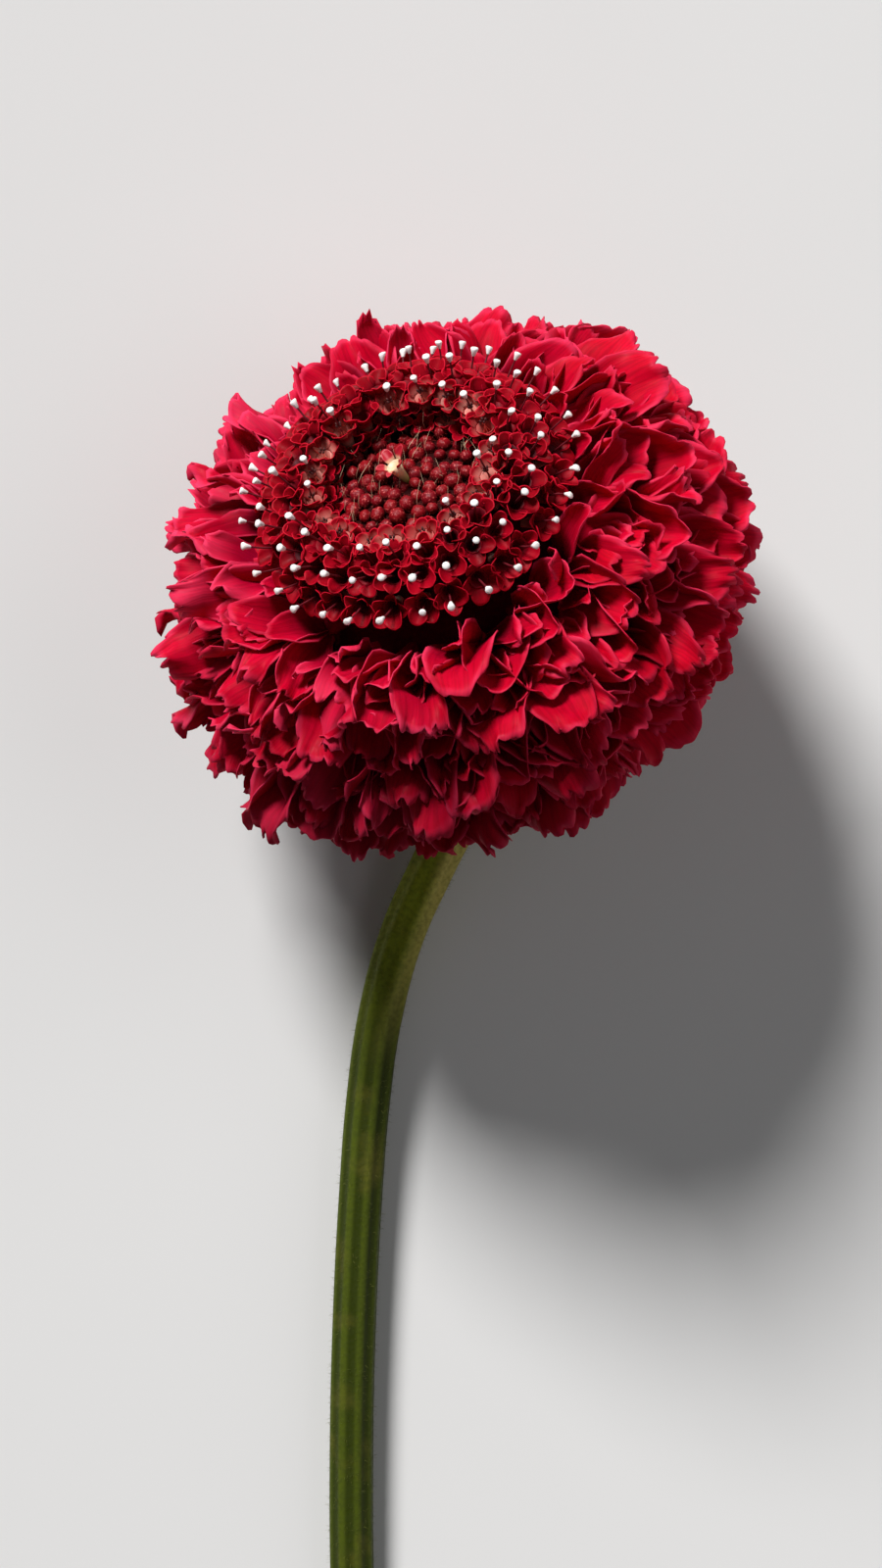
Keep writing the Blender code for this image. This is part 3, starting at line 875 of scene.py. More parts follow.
def ruffled(tree, geometry):
    """Moves the free ends of petals by a smooth noise, and leaves their roots in place."""
    scale = tree.math("DIVIDE", 1.0, tree.given["Ruffle size"])
    links = {"Vector": tree.position(), "Scale": scale, "Detail": 1.0}
    noise = tree.add("ShaderNodeTexNoise", links, "Color")
    centred = tree.add("ShaderNodeVectorMath", {0: noise, 1: (0.5, 0.5, 0.5)}, operation="SUBTRACT")
    free = tree.times(tree.math("MAXIMUM", tree.attribute("along"), 0.0), tree.given["Ruffle depth"])
    offset = tree.add("ShaderNodeVectorMath", {0: centred, "Scale": free}, operation="SCALE")
    return tree.add("GeometryNodeSetPosition", {"Geometry": geometry, "Offset": offset})


def scatter_tree():
    """Puts the shapes of a collection on points and ruffles them."""
    inputs = {"Shapes": "Collection", "Ruffle depth": "Float", "Ruffle size": "Float"}
    tree = Tree("scatter", inputs)
    turn = tree.attribute("turn", "FLOAT_VECTOR")
    links = {
        "Points": tree.given["Geometry"],
        "Instance Index": tree.attribute("shape", "INT"),
        "Rotation": tree.add("FunctionNodeEulerToRotation", {0: turn}),
        "Scale": tree.attribute("size"),
    }
    return tree.end(ruffled(tree, tree.copies(links)))


def hair_tree():
    """Spreads hairs over a surface, each leaning a little its own way."""
    inputs = {"Shapes": "Collection", "Hairs per square metre": "Float", "Lean": "Float", "Seed": "Int"}
    tree = Tree("hairs", inputs)
    density, lean, seed = (tree.given[name] for name in ("Hairs per square metre", "Lean", "Seed"))
    links = {"Mesh": tree.given["Geometry"], "Density": density, "Seed": seed}
    points = tree.add("GeometryNodeDistributePointsOnFaces", links)
    back = tree.times(lean, -1.0)
    low = tree.vector(back, back, -math.pi)
    high = tree.vector(lean, lean, math.pi)
    links = {0: low, 1: high, "Seed": seed}
    wander = tree.add("FunctionNodeRandomValue", links, data_type="FLOAT_VECTOR")
    euler = tree.add("FunctionNodeEulerToRotation", {0: wander})
    links = {"Rotation": points.node.outputs["Rotation"], "Rotate By": euler}
    turn = tree.add("FunctionNodeRotateRotation", links, rotation_space="LOCAL")
    size = tree.add("FunctionNodeRandomValue", {2: 0.55, 3: 1.2, "Seed": seed}, 1, data_type="FLOAT")
    return tree.end(tree.copies({"Points": points, "Rotation": turn, "Scale": size}))


def stalk_tree():
    """Sweeps a ribbed round along the stalk's line."""
    tree = Tree("ribbed stalk", {"Step": "Float", "Ribs": "Float", "Rib depth": "Float"})
    links = {"Curve": tree.given["Geometry"], "Length": tree.given["Step"]}
    line = tree.add("GeometryNodeResampleCurve", links, mode="LENGTH")
    circle = tree.add("GeometryNodeCurvePrimitiveCircle", {"Resolution": STALK_SIDES, "Radius": 1.0})
    position = tree.position()
    x, y, _ = tree.parts(position)
    angle = tree.math("ARCTAN2", y, x)
    rib = tree.math("COSINE", tree.times(angle, tree.given["Ribs"]))
    links = {"Geometry": circle, "Name": "across", "Value": rib}
    marked = tree.add("GeometryNodeStoreNamedAttribute", links, data_type="FLOAT")
    links = {0: position, "Scale": tree.times(rib, tree.given["Rib depth"])}
    out = tree.add("ShaderNodeVectorMath", links, operation="SCALE")
    ribbed = tree.add("GeometryNodeSetPosition", {"Geometry": marked, "Offset": out})
    radius = tree.add("GeometryNodeInputRadius")
    links = {"Curve": line, "Profile Curve": ribbed, "Scale": radius, "Fill Caps": True}
    swept = tree.add("GeometryNodeCurveToMesh", links)
    smooth = tree.add("GeometryNodeSetShadeSmooth", {"Geometry": swept})
    return tree.end(tree.add("GeometryNodeRealizeInstances", {0: smooth}))


def scattered(name, places, shapes, finish, ruffle=0.0):
    """A piece of shapes on places."""
    places = list(places)
    matrices = [HEAD @ place.matrix for place in places]
    mesh = bpy.data.meshes.new("places")
    mesh.from_pydata([matrix.translation for matrix in matrices], [], [])
    turns = [part for matrix in matrices for part in matrix.to_euler()]
    mesh.attributes.new("turn", "FLOAT_VECTOR", "POINT").data.foreach_set("vector", turns)
    for title, kind in {"size": "FLOAT", "shape": "INT", "tint": "FLOAT", "pale": "FLOAT"}.items():
        values = [getattr(place, title) for place in places]
        mesh.attributes.new(title, kind, "POINT").data.foreach_set("value", values)
    points = shown("places", mesh)
    values = {"Shapes": shapes, "Ruffle depth": ruffle, "Ruffle size": RUFFLE_SIZE}
    values.update({"Press height": PETAL_PRESS, "Finish": finish})
    made = scatter_tree().on(points, name, values)
    bpy.data.objects.remove(points)
    return made


def haired(name, surface, shape, density, lean, seed, finish):
    """A piece of hairs on another piece."""
    values = {
        "Shapes": shape_group(f"{name} shape", [shape]),
        "Hairs per square metre": density,
        "Lean": lean,
        "Seed": seed,
        "Press height": HAIR_PRESS,
        "Finish": finish,
    }
    return hair_tree().on(surface, name, values)


def hand_over(node, slot, *pieces):
    """Hands finished pieces to the frame in place of a node."""
    for piece in pieces:
        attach(piece, "root")
        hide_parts(node)


# Finishes


class Finish(Nodes):
    """A material in the making."""

    def __init__(self, name):
        self.material = bpy.data.materials.new(name)
        self.material.use_nodes = True
        self.tree = self.material.node_tree
        self.shader = self.tree.nodes["Principled BSDF"]

    def marks(self, *names):
        """The values of point attributes."""
        return [self.add("ShaderNodeAttribute", None, "Fac", attribute_name=name) for name in names]

    def place(self):
        """Where the point is on the object."""
        return self.add("ShaderNodeTexCoord", None, "Object")

    def noise(self, size, detail=2.0, vector=None):
        """A noise of that size in metres on the object, or of that size on a vector."""
        if vector is None:
            vector = self.place()
        links = {"Vector": vector, "Scale": 1.0 / size, "Detail": detail}
        return self.add("ShaderNodeTexNoise", links)

    def ramp(self, value, low, high, out_low=0.0, out_high=1.0):
        """The value brought smoothly from one range to another."""
        links = {"Value": value, "From Min": low, "From Max": high, "To Min": out_low, "To Max": out_high}
        return self.add("ShaderNodeMapRange", links, interpolation_type="SMOOTHSTEP")

    def coated(self, colour, *coats):
        """A colour with coats over it, each a share and a colour."""
        for share, coat in coats:
            colour = self.add("ShaderNodeMix", {0: share, 6: colour, 7: coat}, 2, data_type="RGBA")
        return colour

    def mottled(self, colour, grain, shade):
        """A colour with darker patches, the shade times as bright, where the grain is high."""
        return self.coated(colour, (grain, [shade * part for part in colour]))

    def bump(self, height, strength, distance):
        """Raises the surface by a height."""
        links = {"Height": height, "Strength": strength, "Distance": distance}
        self.fill(self.shader, {"Normal": self.add("ShaderNodeBump", links)})

    def surface(self, colour, roughness, **constants):
        """Sets the shader's colour and roughness and its other constants."""
        self.fill(self.shader, {"Base Color": colour, "Roughness": roughness})
        self.fill(self.shader, {name.replace("_", " "): value for name, value in constants.items()})
        return self.material


def petal_finish(settings):
    """Crimson petals: deep at the root, partly their own tone and partly painted shade, brighter and
    pinker to the frilled edge, partly painted highlight, finely veined, with painted shade towards the
    head's lower side.
    """
    finish = Finish("frilled crimson petal")
    along, across, edge, tint = finish.marks("along", "across", "edge", "tint")
    patch = finish.noise(5 * MM, 3.0)
    fan = finish.vector(finish.times(across, 13.0), finish.times(along, 2.0), tint)
    veins = finish.noise(1.0, 2.0, fan)
    # The pink edge is partly the petals' own paler margin and partly painted highlight; the stronger edge
    # and the pink tips on the frillier side are painted highlight
    rim = finish.times(finish.ramp(edge, 0.84, 1.0), finish.ramp(patch, 0.3, 0.65, 0.2, 0.8))
    rim = finish.times(rim, finish.ramp(tint, 0.0, 1.0, 0.6, 1.25))
    tips = finish.times(finish.ramp(along, 0.55, 1.0), finish.ramp(tint, 0.6, 1.0, 0.0, 0.6))
    colour = finish.coated(
        settings.deep,
        # Partly the petals' own deeper tone at the root, partly painted shade where the petals crowd
        (finish.ramp(along, 0.2, 0.95), settings.petal),
        (finish.ramp(patch, 0.35, 0.7, 0.0, 0.5), settings.bright),
        (finish.times(tint, 0.45), settings.cool),
        (finish.times(finish.ramp(veins, 0.42, 0.62), 0.28), settings.deep),
        (finish.math("MAXIMUM", rim, tips), settings.rim),
        # Painted shade: the petals grow darker towards the head's lower side
        (finish.ramp(finish.parts(finish.place())["Y"], *PAINTED_SHADE_SPAN, 0.62, 0.0), settings.deep),
    )
    finish.bump(veins, 0.35, 0.12 * MM)
    return finish.surface(
        colour,
        finish.ramp(finish.noise(1.2 * MM), 0.3, 0.7, 0.42, 0.6),
        Subsurface_Weight=0.1,
        Subsurface_Radius=(0.9, 0.05, 0.09),
        Subsurface_Scale=0.8 * MM,
        Specular_IOR_Level=0.045,
    )


def crown_finish(settings):
    """Small wine-red lobes with a lit rim and painted shade in their throats, on tubes that pale towards
    the root.
    """
    finish = Finish("wine red crown floret")
    along, edge, tint, pale = finish.marks("along", "edge", "tint", "pale")
    reach = finish.math("ADD", finish.times(pale, 0.25), 0.55)
    # Painted shade: the throat colour at the mouth, giving way to the lobe colour outwards
    lobe = finish.coated(
        settings.throat,
        (pale, settings.pale_throat),
        (finish.math("DIVIDE", along, reach), settings.lobe),
        (finish.times(tint, 0.5), settings.lobe_bright),
        (finish.ramp(edge, 0.9, 1.0, 0.0, 0.7), settings.lobe_rim),
    )
    tube = finish.coated(settings.tube, (finish.ramp(along, -0.6, -0.1), settings.lobe))
    grain = finish.noise(0.35 * MM)
    finish.bump(grain, 0.3, 0.06 * MM)
    return finish.surface(
        finish.coated(tube, (finish.ramp(along, -0.01, 0.0), lobe)),
        finish.ramp(grain, 0.3, 0.7, 0.42, 0.56),
        Subsurface_Weight=0.15,
        Subsurface_Radius=(0.8, 0.08, 0.12),
        Subsurface_Scale=0.6 * MM,
        Specular_IOR_Level=0.07,
    )


def stamen_finish(settings):
    """Pale filaments with dark anthers."""
    finish = Finish("stamen with dark anther")
    (along,) = finish.marks("along")
    finish.bump(finish.noise(0.15 * MM), 0.4, 0.04 * MM)
    colour = finish.coated(settings.pale_throat, (finish.ramp(along, 0.5, 0.9), settings.anther))
    return finish.surface(colour, 0.6, Specular_IOR_Level=0.2)


def style_finish(settings):
    """A dark red style that ends in a chalk-white stigma."""
    finish = Finish("style with white stigma")
    (along,) = finish.marks("along")
    finish.bump(finish.noise(0.12 * MM, 3.0), 0.4, 0.05 * MM)
    colour = finish.coated(settings.style, (finish.ramp(along, 0.75, 0.98), settings.stigma))
    return finish.surface(colour, 0.55, Subsurface_Weight=0.1, Subsurface_Scale=0.3 * MM)


def early_finish(settings):
    """The floret that opened early: a green tube, a pale throat and rosy lobes."""
    finish = Finish("rosy early floret")
    (along,) = finish.marks("along")
    tube = finish.coated(settings.early_tube, (finish.ramp(along, -0.8, -0.1), settings.early_throat))
    lobe = finish.coated(settings.early_throat, (finish.ramp(along, 0.05, 0.4), settings.early_lobe))
    colour = finish.coated(tube, (finish.ramp(along, -0.01, 0.0), lobe))
    grain = finish.noise(0.3 * MM)
    finish.bump(grain, 0.3, 0.05 * MM)
    rough = finish.ramp(grain, 0.3, 0.7, 0.4, 0.55)
    return finish.surface(colour, rough, Subsurface_Weight=0.15, Subsurface_Scale=0.5 * MM)


def bud_finish(settings):
    """Dusky red buds, with painted shade at their bases and in their folds, and a lighter bloom in
    specks.
    """
    finish = Finish("dusky red bud")
    along, fold, tint = finish.marks("along", "across", "tint")
    speck = finish.noise(0.22 * MM, 3.0)
    colour = finish.coated(
        # Painted shade: dark at the bud's base, fading upwards, and again in its folds
        settings.bud_low,
        (finish.ramp(along, 0.35, 0.95), settings.bud),
        (finish.times(tint, 0.6), settings.bud_cool),
        (finish.ramp(speck, 0.57, 0.7, 0.0, 0.9), settings.bud_bloom),
        (finish.ramp(fold, 0.0, 0.6, 0.8, 0.0), settings.bud_low),
    )
    finish.bump(speck, 0.6, 0.08 * MM)
    return finish.surface(
        colour, 0.42, Subsurface_Weight=0.08, Subsurface_Scale=0.3 * MM, Specular_IOR_Level=0.18
    )


def hair_finish(name, colour):
    """Fine pale hairs."""
    finish = Finish(name)
    shade = finish.mottled(colour, finish.noise(1.5 * MM), 0.6)
    return finish.surface(shade, 0.5, Specular_IOR_Level=0.15)


def core_finish(name, colour):
    """The dark body between the roots of the florets; its darkness is painted shade."""
    finish = Finish(name)
    grain = finish.noise(0.8 * MM, 3.0)
    shade = finish.mottled(colour, grain, 0.4)
    finish.bump(grain, 0.5, 0.2 * MM)
    return finish.surface(shade, 0.75, Specular_IOR_Level=0.08)


def leaf_finish(settings):
    """Soft green bracts with a paler keel."""
    finish = Finish("green bract")
    along, across = finish.marks("along", "across")
    colour = finish.coated(
        settings.leaf,
        (finish.noise(2.5 * MM, 3.0), settings.leaf_dark),
        (finish.ramp(finish.math("ABSOLUTE", across), 0.0, 0.18, 0.5, 0.0), settings.leaf_keel),
        (finish.ramp(along, 0.8, 1.0, 0.0, 0.5), settings.leaf_tip),
    )
    finish.bump(finish.noise(0.3 * MM, 3.0), 0.4, 0.08 * MM)
    return finish.surface(colour, 0.6, Sheen_Weight=0.2, Specular_IOR_Level=0.3)


def stalk_finish(settings):
    """A dull green stalk, lighter on its ribs, with painted light near the head and a painted highlight
    on one side there, with a pale cut.
    """
    finish = Finish("ribbed green stalk")
    rib, pith = finish.marks("across", "edge")
    fine = finish.noise(0.5 * MM, 3.0)
    x, y, _ = finish.parts(finish.place())
    # Painted light: the stalk's top under the head is lighter, fading downwards, with a painted highlight
    # on its one side
    below = finish.math("SUBTRACT", PAINTED_LIGHT_START, y)
    painted_light_top = finish.ramp(below, 0.0, PAINTED_LIGHT_LENGTH, 0.9, 0.0)
    side = finish.math("ADD", x, finish.times(below, STALK_SLOPE))
    colour = finish.coated(
        settings.groove,
        (finish.ramp(rib, -0.7, 0.9), settings.rib),
        (painted_light_top, settings.painted_light_top),
        (finish.ramp(finish.noise(6 * MM, 4.0), 0.5, 0.75, 0.0, 0.5), settings.tan),
        (finish.times(painted_light_top, finish.ramp(side, -2.2 * MM, -0.4 * MM)), settings.painted_sunlit),
        (finish.ramp(fine, 0.35, 0.7, 0.0, 0.35), settings.groove),
        (finish.ramp(pith, 0.2, 0.9), settings.pith),
    )
    finish.bump(fine, 0.5, 0.08 * MM)
    return finish.surface(colour, finish.ramp(fine, 0.3, 0.7, 0.42, 0.62), Specular_IOR_Level=0.12)


# Settings


def colour_of(subject, value):
    """A colour that a user can change."""
    return bpy.props.FloatVectorProperty(
        name=subject.capitalize(),
        description=f"Colour of the {subject}",
        subtype="COLOR",
        size=3,
        min=0.0,
        max=1.0,
        default=value,
    )


def length_of(name, words, value):
    """A length that a user can change."""
    return bpy.props.FloatProperty(
        name=name, description=words, subtype="DISTANCE", unit="LENGTH", min=0.0, default=value
    )


def amount_of(name, words, value):
    """A plain number that a user can change."""
    return bpy.props.FloatProperty(name=name, description=words, min=0.0, default=value)


def count_of(name, words, value, least):
    """A whole number that a user can change."""
    return bpy.props.IntProperty(name=name, description=words, min=least, default=value)


class RaySettings(bpy.types.PropertyGroup):
    """Sizes and colours of the ray florets."""

    lobe_length: length_of("Lobe length", "From the throat to the tip", 10.9 * MM)
    lobe_width: length_of("Lobe width", "Across the widest of a broad lobe", 7.0 * MM)
    frill: length_of("Frill", "How far the edges wave", 0.55 * MM)
    ruffle: length_of("Ruffle", "How far crowded petals push each other about", 2.1 * MM)
    shapes: count_of("Shapes", "Different florets", 16, 2)
    # Also painted shade: at the petals' roots, towards the head's lower side and on the dark core
    deep: colour_of("roots and veins", (0.11, 0.0004, 0.004))
    petal: colour_of("blades", (0.50, 0.0006, 0.012))
    bright: colour_of("brighter patches", (0.76, 0.0025, 0.034))
    cool: colour_of("cooler florets", (0.46, 0.0015, 0.042))
    # Partly the petals' own pink margin, partly painted highlight
    rim: colour_of("frilled edge", (0.85, 0.045, 0.125))


class CrownSettings(bpy.types.PropertyGroup):
    """Sizes and colours of the crown."""

    lobe_length: length_of("Lobe length", "From the mouth to the tip", 1.6 * MM)
    lobe_width: length_of("Lobe width", "Across a lobe", 1.75 * MM)
    style_reach: length_of("Style reach", "From the mouth to the stigma", 2.2 * MM)
    stigma_width: length_of("Stigma width", "Across a stigma", 0.78 * MM)
    shapes: count_of("Shapes", "Different florets", 6, 1)
    # Painted shade: the dark of the florets' throats and of the goblet
    throat: colour_of("throats", (0.05, 0.0008, 0.004))
    pale_throat: colour_of("newest florets' throats", (0.80, 0.32, 0.26))
    anther: colour_of("anthers", (0.10, 0.03, 0.03))
    lobe: colour_of("lobes", (0.215, 0.0005, 0.005))
    lobe_bright: colour_of("brighter lobes", (0.44, 0.001, 0.014))
    lobe_rim: colour_of("lobes' edges", (0.68, 0.006, 0.028))
    tube: colour_of("tubes near their roots", (0.62, 0.34, 0.26))
    style: colour_of("styles", (0.14, 0.004, 0.012))
    stigma: colour_of("stigmas", (0.94, 0.89, 0.87))


class BudSettings(bpy.types.PropertyGroup):
    """Sizes and colours of the buds."""

    bud_width: length_of("Bud width", "Across a bud", 1.62 * MM)
    hair_length: length_of("Hair length", "Length of the hairs on the buds", 0.34 * MM)
    bristle_length: length_of("Bristle length", "Length of the long bristles", 3.4 * MM)
    hairs: amount_of("Hairs", "On a square metre of the buds", 2.4e6)
    bud: colour_of("buds", (0.25, 0.003, 0.007))
    # Painted shade at the buds' bases, in their folds and on the cushion between them
    bud_low: colour_of("buds' bases and folds", (0.030, 0.001, 0.001))
    bud_cool: colour_of("cooler buds", (0.15, 0.002, 0.009))
    bud_bloom: colour_of("bloom on the buds", (0.66, 0.11, 0.10))
    hair: colour_of("hairs", (0.44, 0.05, 0.04))
    bristle: colour_of("long bristles", (0.95, 0.70, 0.46))
    early_tube: colour_of("early floret's tube", (0.34, 0.34, 0.06))
    early_throat: colour_of("early floret's throat", (0.84, 0.56, 0.36))
    early_lobe: colour_of("early floret's lobes", (0.46, 0.006, 0.022))


class GreenSettings(bpy.types.PropertyGroup):
    """Sizes and colours of the bracts and the stalk."""

    bract_length: length_of("Bract length", "From the collar to the tip", 11.0 * MM)
    bract_width: length_of("Bract width", "Across a bract", 3.4 * MM)
    ribs: count_of("Ribs", "Ribs round the stalk", 8, 0)
    rib_depth: amount_of("Rib depth", "As a share of the radius", 0.045)
    down: length_of("Down", "Length of the stalk's fine hairs", 0.5 * MM)
    hairs: amount_of("Hairs", "On a square metre of the stalk", 1.6e6)
    leaf: colour_of("bracts", (0.16, 0.26, 0.06))
    leaf_dark: colour_of("darker parts of the bracts", (0.06, 0.12, 0.025))
    leaf_keel: colour_of("bracts' keels", (0.34, 0.44, 0.16))
    leaf_tip: colour_of("bracts' tips", (0.22, 0.10, 0.05))
    rib: colour_of("ribs", (0.062, 0.082, 0.006))
    groove: colour_of("grooves", (0.026, 0.036, 0.002))
    # Painted light on the stalk's top under the head, and a painted highlight on its one side there
    painted_light_top: colour_of("stalk under the head", (0.27, 0.31, 0.018))
    painted_sunlit: colour_of("stalk's sunny side", (0.52, 0.42, 0.11))
    tan: colour_of("tanned patches", (0.14, 0.12, 0.020))
    pith: colour_of("cut", (0.62, 0.66, 0.40))
    down_colour: colour_of("down", (0.19, 0.20, 0.045))


class StageSettings(bpy.types.PropertyGroup):
    """The floor, the lights and the camera."""

    floor: colour_of("floor", (0.72, 0.71, 0.70))
    key: amount_of("Key", "Strength of the key light", 4.7)
    fill: amount_of("Fill", "Strength of the fill light", 1.1)
    distance: length_of("Distance", "From the camera to the head", 0.5)
    lens: amount_of("Lens", "Focal length in mm", 112.5)


# Operators


class SCABIOSA_OT_rays(bpy.types.Operator):
    """Makes the ray florets in four tiers on their dark core"""

    bl_idname = "scabiosa.rays"
    bl_label = "Ray florets"

    def execute(self, context):
        settings = context.scene.scabiosa_rays
        numbers = range(settings.shapes)
        shapes = shape_group("ray shapes", [ray_floret(number, settings) for number in numbers])
        finish = petal_finish(settings)
        rings = ray_places(settings.shapes)
        tiers = {"upper": rings[:2], "middle": rings[2:4], "lower": rings[4:6], "under": rings[6:]}
        for tier, chosen in tiers.items():
            places = [place for ring in chosen for place in ring]
            piece = scattered(f"ray_florets_{tier}", places, shapes, finish, settings.ruffle)
            hand_over("ray_florets", "ray_petal", piece)
        dark = core_finish("dark heart", settings.deep)
        core = turned_solid("ray_core", RAY_CORE, TURN_STEPS, dark)
        hand_over("ray_florets", "ray_petal", core)
        return {"FINISHED"}


class SCABIOSA_OT_crown(bpy.types.Operator):
    """Makes the crown's florets, styles and stamens on their goblet"""

    bl_idname = "scabiosa.crown"
    bl_label = "Crown"

    def execute(self, context):
        settings = context.scene.scabiosa_crown
        numbers = range(settings.shapes)
        lobe = (settings.lobe_length, settings.lobe_width)
        florets = [crown_floret(number, *lobe, CROWN_OPENING) for number in numbers]
        florets = shape_group("crown shapes", florets)
        styles = shape_group("style shapes", [style(number, settings) for number in numbers])
        anthers = shape_group("stamens", [stamens()])
        places, styled = crown_places(settings.shapes)
        places += half_open_places(settings.shapes)
        newest = [Place(place.matrix, 1.0, 0, place.tint) for place in places if place.pale]
        dark = core_finish("dark goblet", settings.throat)
        hand_over(
            "crown_florets",
            "crown_floret",
            scattered("crown_florets", places, florets, crown_finish(settings)),
            scattered("crown_styles", styled, styles, style_finish(settings)),
            scattered("crown_stamens", newest, anthers, stamen_finish(settings)),
            turned_solid("crown_core", goblet_profile(), TURN_STEPS, dark),
        )
        return {"FINISHED"}


class SCABIOSA_OT_buds(bpy.types.Operator):
    """Makes the buds with their hairs, and the floret that opened early"""

    bl_idname = "scabiosa.buds"
    bl_label = "Buds"

    def execute(self, context):
        settings = context.scene.scabiosa_buds
        shapes = shape_group("bud shapes", [bud(number, settings) for number in range(BUD_SHAPES)])
        buds = scattered("buds", bud_places(BUD_SHAPES), shapes, bud_finish(settings))
        short = hair(settings.hair_length, BUD_HAIR_RADIUS)
        long = shape_group("bristles", [hair(settings.bristle_length, BRISTLE_RADIUS)])
        star = shape_group("early floret", [crown_floret(EARLY_NUMBER, *EARLY_LOBE, EARLY_OPENING)])
        spot = standing(EARLY_FLORET_AT, direction(*EARLY_LEAN), Vector((1, 0, 0)))
        early = [Place(spot, 0.85, 0, 0.8, 1.0)]
        pale = hair_finish("pale bud hair", settings.hair)
        dark = core_finish("dark cushion", settings.bud_low)
        blond = hair_finish("pale bristle", settings.bristle)
        hand_over(
            "buds",
            "bud",
            buds,
            haired("bud_hairs", buds, short, settings.hairs, BUD_HAIR_LEAN, BUD_SEED, pale),
            turned_solid("bud_cushion", CUSHION, SMALL_TURN_STEPS, dark),
            scattered("bud_bristles", bristle_places(), long, blond),
            scattered("early_floret", early, star, early_finish(settings)),
        )
        return {"FINISHED"}


class SCABIOSA_OT_bracts(bpy.types.Operator):
    """Makes the bracts and the collar that they grow from"""

    bl_idname = "scabiosa.bracts"
    bl_label = "Bracts"

    def execute(self, context):
        settings = context.scene.scabiosa_green
        numbers = range(BRACT_SHAPES)
        shapes = shape_group("bract shapes", [bract(number, settings) for number in numbers])
        finish = leaf_finish(settings)
        leaves = scattered("bracts", bract_places(BRACT_SHAPES), shapes, finish)
        collar = turned_solid("bract_collar", COLLAR, TURN_STEPS, finish)
        hand_over("bracts", "bract", leaves, collar)
        return {"FINISHED"}


def stalk_curve():
    """The stalk's middle line with its radius."""
    curve = bpy.data.curves.new("stalk line", "CURVE")
    curve.dimensions = "3D"
    curve.resolution_u = 12
    line = curve.splines.new("BEZIER")
    line.bezier_points.add(len(STALK_LINE) - 1)
    for point, (x, y, height, radius) in zip(line.bezier_points, STALK_LINE):
        point.co = (HEAD_CENTRE.x + x * MM, HEAD_CENTRE.y + y * MM, height * MM)
        point.handle_left_type = "AUTO"
        point.handle_right_type = "AUTO"
        point.radius = radius * MM
    return shown("stalk line", curve)


def cut_end(mesh):
    """Cuts the stalk's end on a slant and shows its pith."""
    bm = bmesh.new()
    bm.from_mesh(mesh)
    edge = bm.verts.layers.float.new("edge")
    bmesh.ops.remove_doubles(bm, verts=bm.verts, dist=1e-7)
    x, y, height, _ = STALK_LINE[-1]
    end = Vector((HEAD_CENTRE.x + x * MM, HEAD_CENTRE.y + (y + CUT_BEFORE_END) * MM, height * MM))
    normal = Vector((0, -math.cos(CUT_SLANT), -math.sin(CUT_SLANT)))
    geom = bm.verts[:] + bm.edges[:] + bm.faces[:]
    bmesh.ops.bisect_plane(bm, geom=geom, plane_co=end, plane_no=normal, clear_outer=True)
    rim = [each for each in bm.edges if each.is_boundary]
    caps = bmesh.ops.contextual_create(bm, geom=rim)["faces"]
    for width in (RIND, PITH):
        bmesh.ops.inset_region(bm, faces=caps, thickness=width, depth=-PITH_DIP)
        for face in caps:
            for vert in face.verts:
                vert[edge] = width / PITH
    for vert in bmesh.ops.poke(bm, faces=caps)["verts"]:
        vert[edge] = 1.0
    bmesh.ops.recalc_face_normals(bm, faces=bm.faces)
    bm.to_mesh(mesh)
    bm.free()


class SCABIOSA_OT_stalk(bpy.types.Operator):
    """Makes the ribbed stalk with its cut end, the swollen top that it holds, and its down"""

    bl_idname = "scabiosa.stalk"
    bl_label = "Stalk"

    def execute(self, context):
        settings = context.scene.scabiosa_green
        finish = stalk_finish(settings)
        values = {
            "Step": STALK_STEP,
            "Ribs": float(settings.ribs),
            "Rib depth": settings.rib_depth,
            "Press height": STALK_PRESS,
            "Finish": finish,
        }
        line = stalk_curve()
        stalk = stalk_tree().on(line, "stalk", values)
        bpy.data.objects.remove(line)
        cut_end(stalk.data)
        fine = hair(settings.down, DOWN_RADIUS)
        pale = hair_finish("pale down", settings.down_colour)
        hand_over(
            "stalk",
            "stalk",
            stalk,
            turned_solid("stalk_top", STALK_TOP, SMALL_TURN_STEPS, finish),
            haired("stalk_down", stalk, fine, settings.hairs, DOWN_LEAN, DOWN_SEED, pale),
        )
        return {"FINISHED"}


def add_light(name, kind, spot, strength):
    """A light that looks at the head from that spot."""
    light = bpy.data.lights.new(name, kind)
    light.energy = strength
    holder = shown(name, light)
    holder.location = spot
    holder.rotation_euler = (spot - HEAD_CENTRE).to_track_quat("Z", "Y").to_euler()
    return light


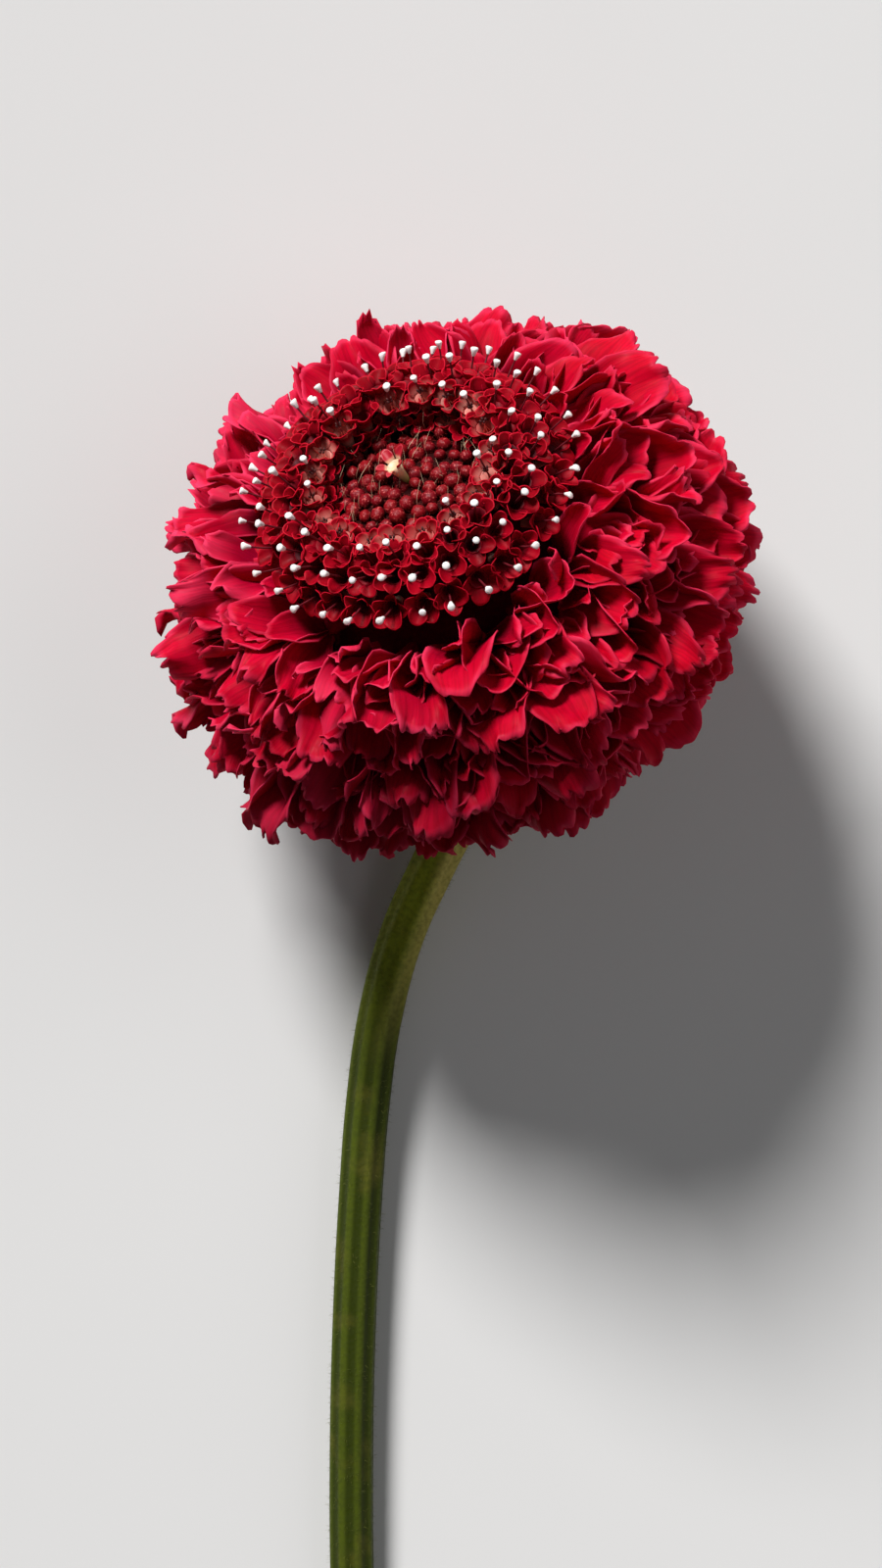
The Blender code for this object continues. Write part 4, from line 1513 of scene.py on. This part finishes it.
class SCABIOSA_OT_stage(bpy.types.Operator):
    """Makes the floor, the lights and the camera"""

    bl_idname = "scabiosa.stage"
    bl_label = "Stage"

    def execute(self, context):
        scene = context.scene
        settings = scene.scabiosa_stage
        bm = bmesh.new()
        bmesh.ops.create_grid(bm, x_segments=1, y_segments=1, size=2.0)
        floor = shown("floor", as_mesh(bm, "floor"))
        finish = Finish("pale floor")
        shade = finish.mottled(settings.floor, finish.noise(40 * MM), 0.97)
        floor.data.materials.append(finish.surface(shade, 0.9))
        add_light("key", "SUN", KEY_SPOT, settings.key).angle = KEY_ANGLE
        add_light("fill", "AREA", FILL_SPOT, settings.fill).size = FILL_SIZE
        world = bpy.data.worlds.new("studio")
        world.use_nodes = True
        background = world.node_tree.nodes["Background"].inputs
        background["Color"].default_value = SKY
        background["Strength"].default_value = SKY_STRENGTH
        scene.world = world
        scene.view_settings.view_transform = "Standard"
        camera = bpy.data.cameras.new("camera")
        camera.lens = settings.lens
        camera.clip_start = 0.01
        scene.camera = shown("camera", camera)
        scene.camera.location = HEAD_CENTRE + Vector((*CAMERA_ASIDE, settings.distance))
        return {"FINISHED"}


class SCABIOSA_PT_panel(bpy.types.Panel):
    """Lists the pieces"""

    bl_label = "Scabiosa"
    bl_space_type = "VIEW_3D"
    bl_region_type = "UI"
    bl_category = "Scabiosa"

    def draw(self, context):
        for operator in OPERATORS:
            self.layout.operator(operator.bl_idname)


SETTINGS = {
    "scabiosa_rays": RaySettings,
    "scabiosa_crown": CrownSettings,
    "scabiosa_buds": BudSettings,
    "scabiosa_green": GreenSettings,
    "scabiosa_stage": StageSettings,
}
OPERATORS = (
    SCABIOSA_OT_stage,
    SCABIOSA_OT_rays,
    SCABIOSA_OT_crown,
    SCABIOSA_OT_buds,
    SCABIOSA_OT_bracts,
    SCABIOSA_OT_stalk,
)
CLASSES = (*SETTINGS.values(), *OPERATORS, SCABIOSA_PT_panel)


def register():
    for each in CLASSES:
        bpy.utils.register_class(each)
    for name, group in SETTINGS.items():
        setattr(bpy.types.Scene, name, bpy.props.PointerProperty(type=group))


def unregister():
    for name in SETTINGS:
        delattr(bpy.types.Scene, name)
    for each in reversed(CLASSES):
        bpy.utils.unregister_class(each)


def main():
    register()
    bpy.ops.scabiosa.stage()
    bpy.ops.scabiosa.rays()
    bpy.ops.scabiosa.crown()
    bpy.ops.scabiosa.buds()
    bpy.ops.scabiosa.bracts()
    bpy.ops.scabiosa.stalk()


if __name__ == "__main__":
    main()
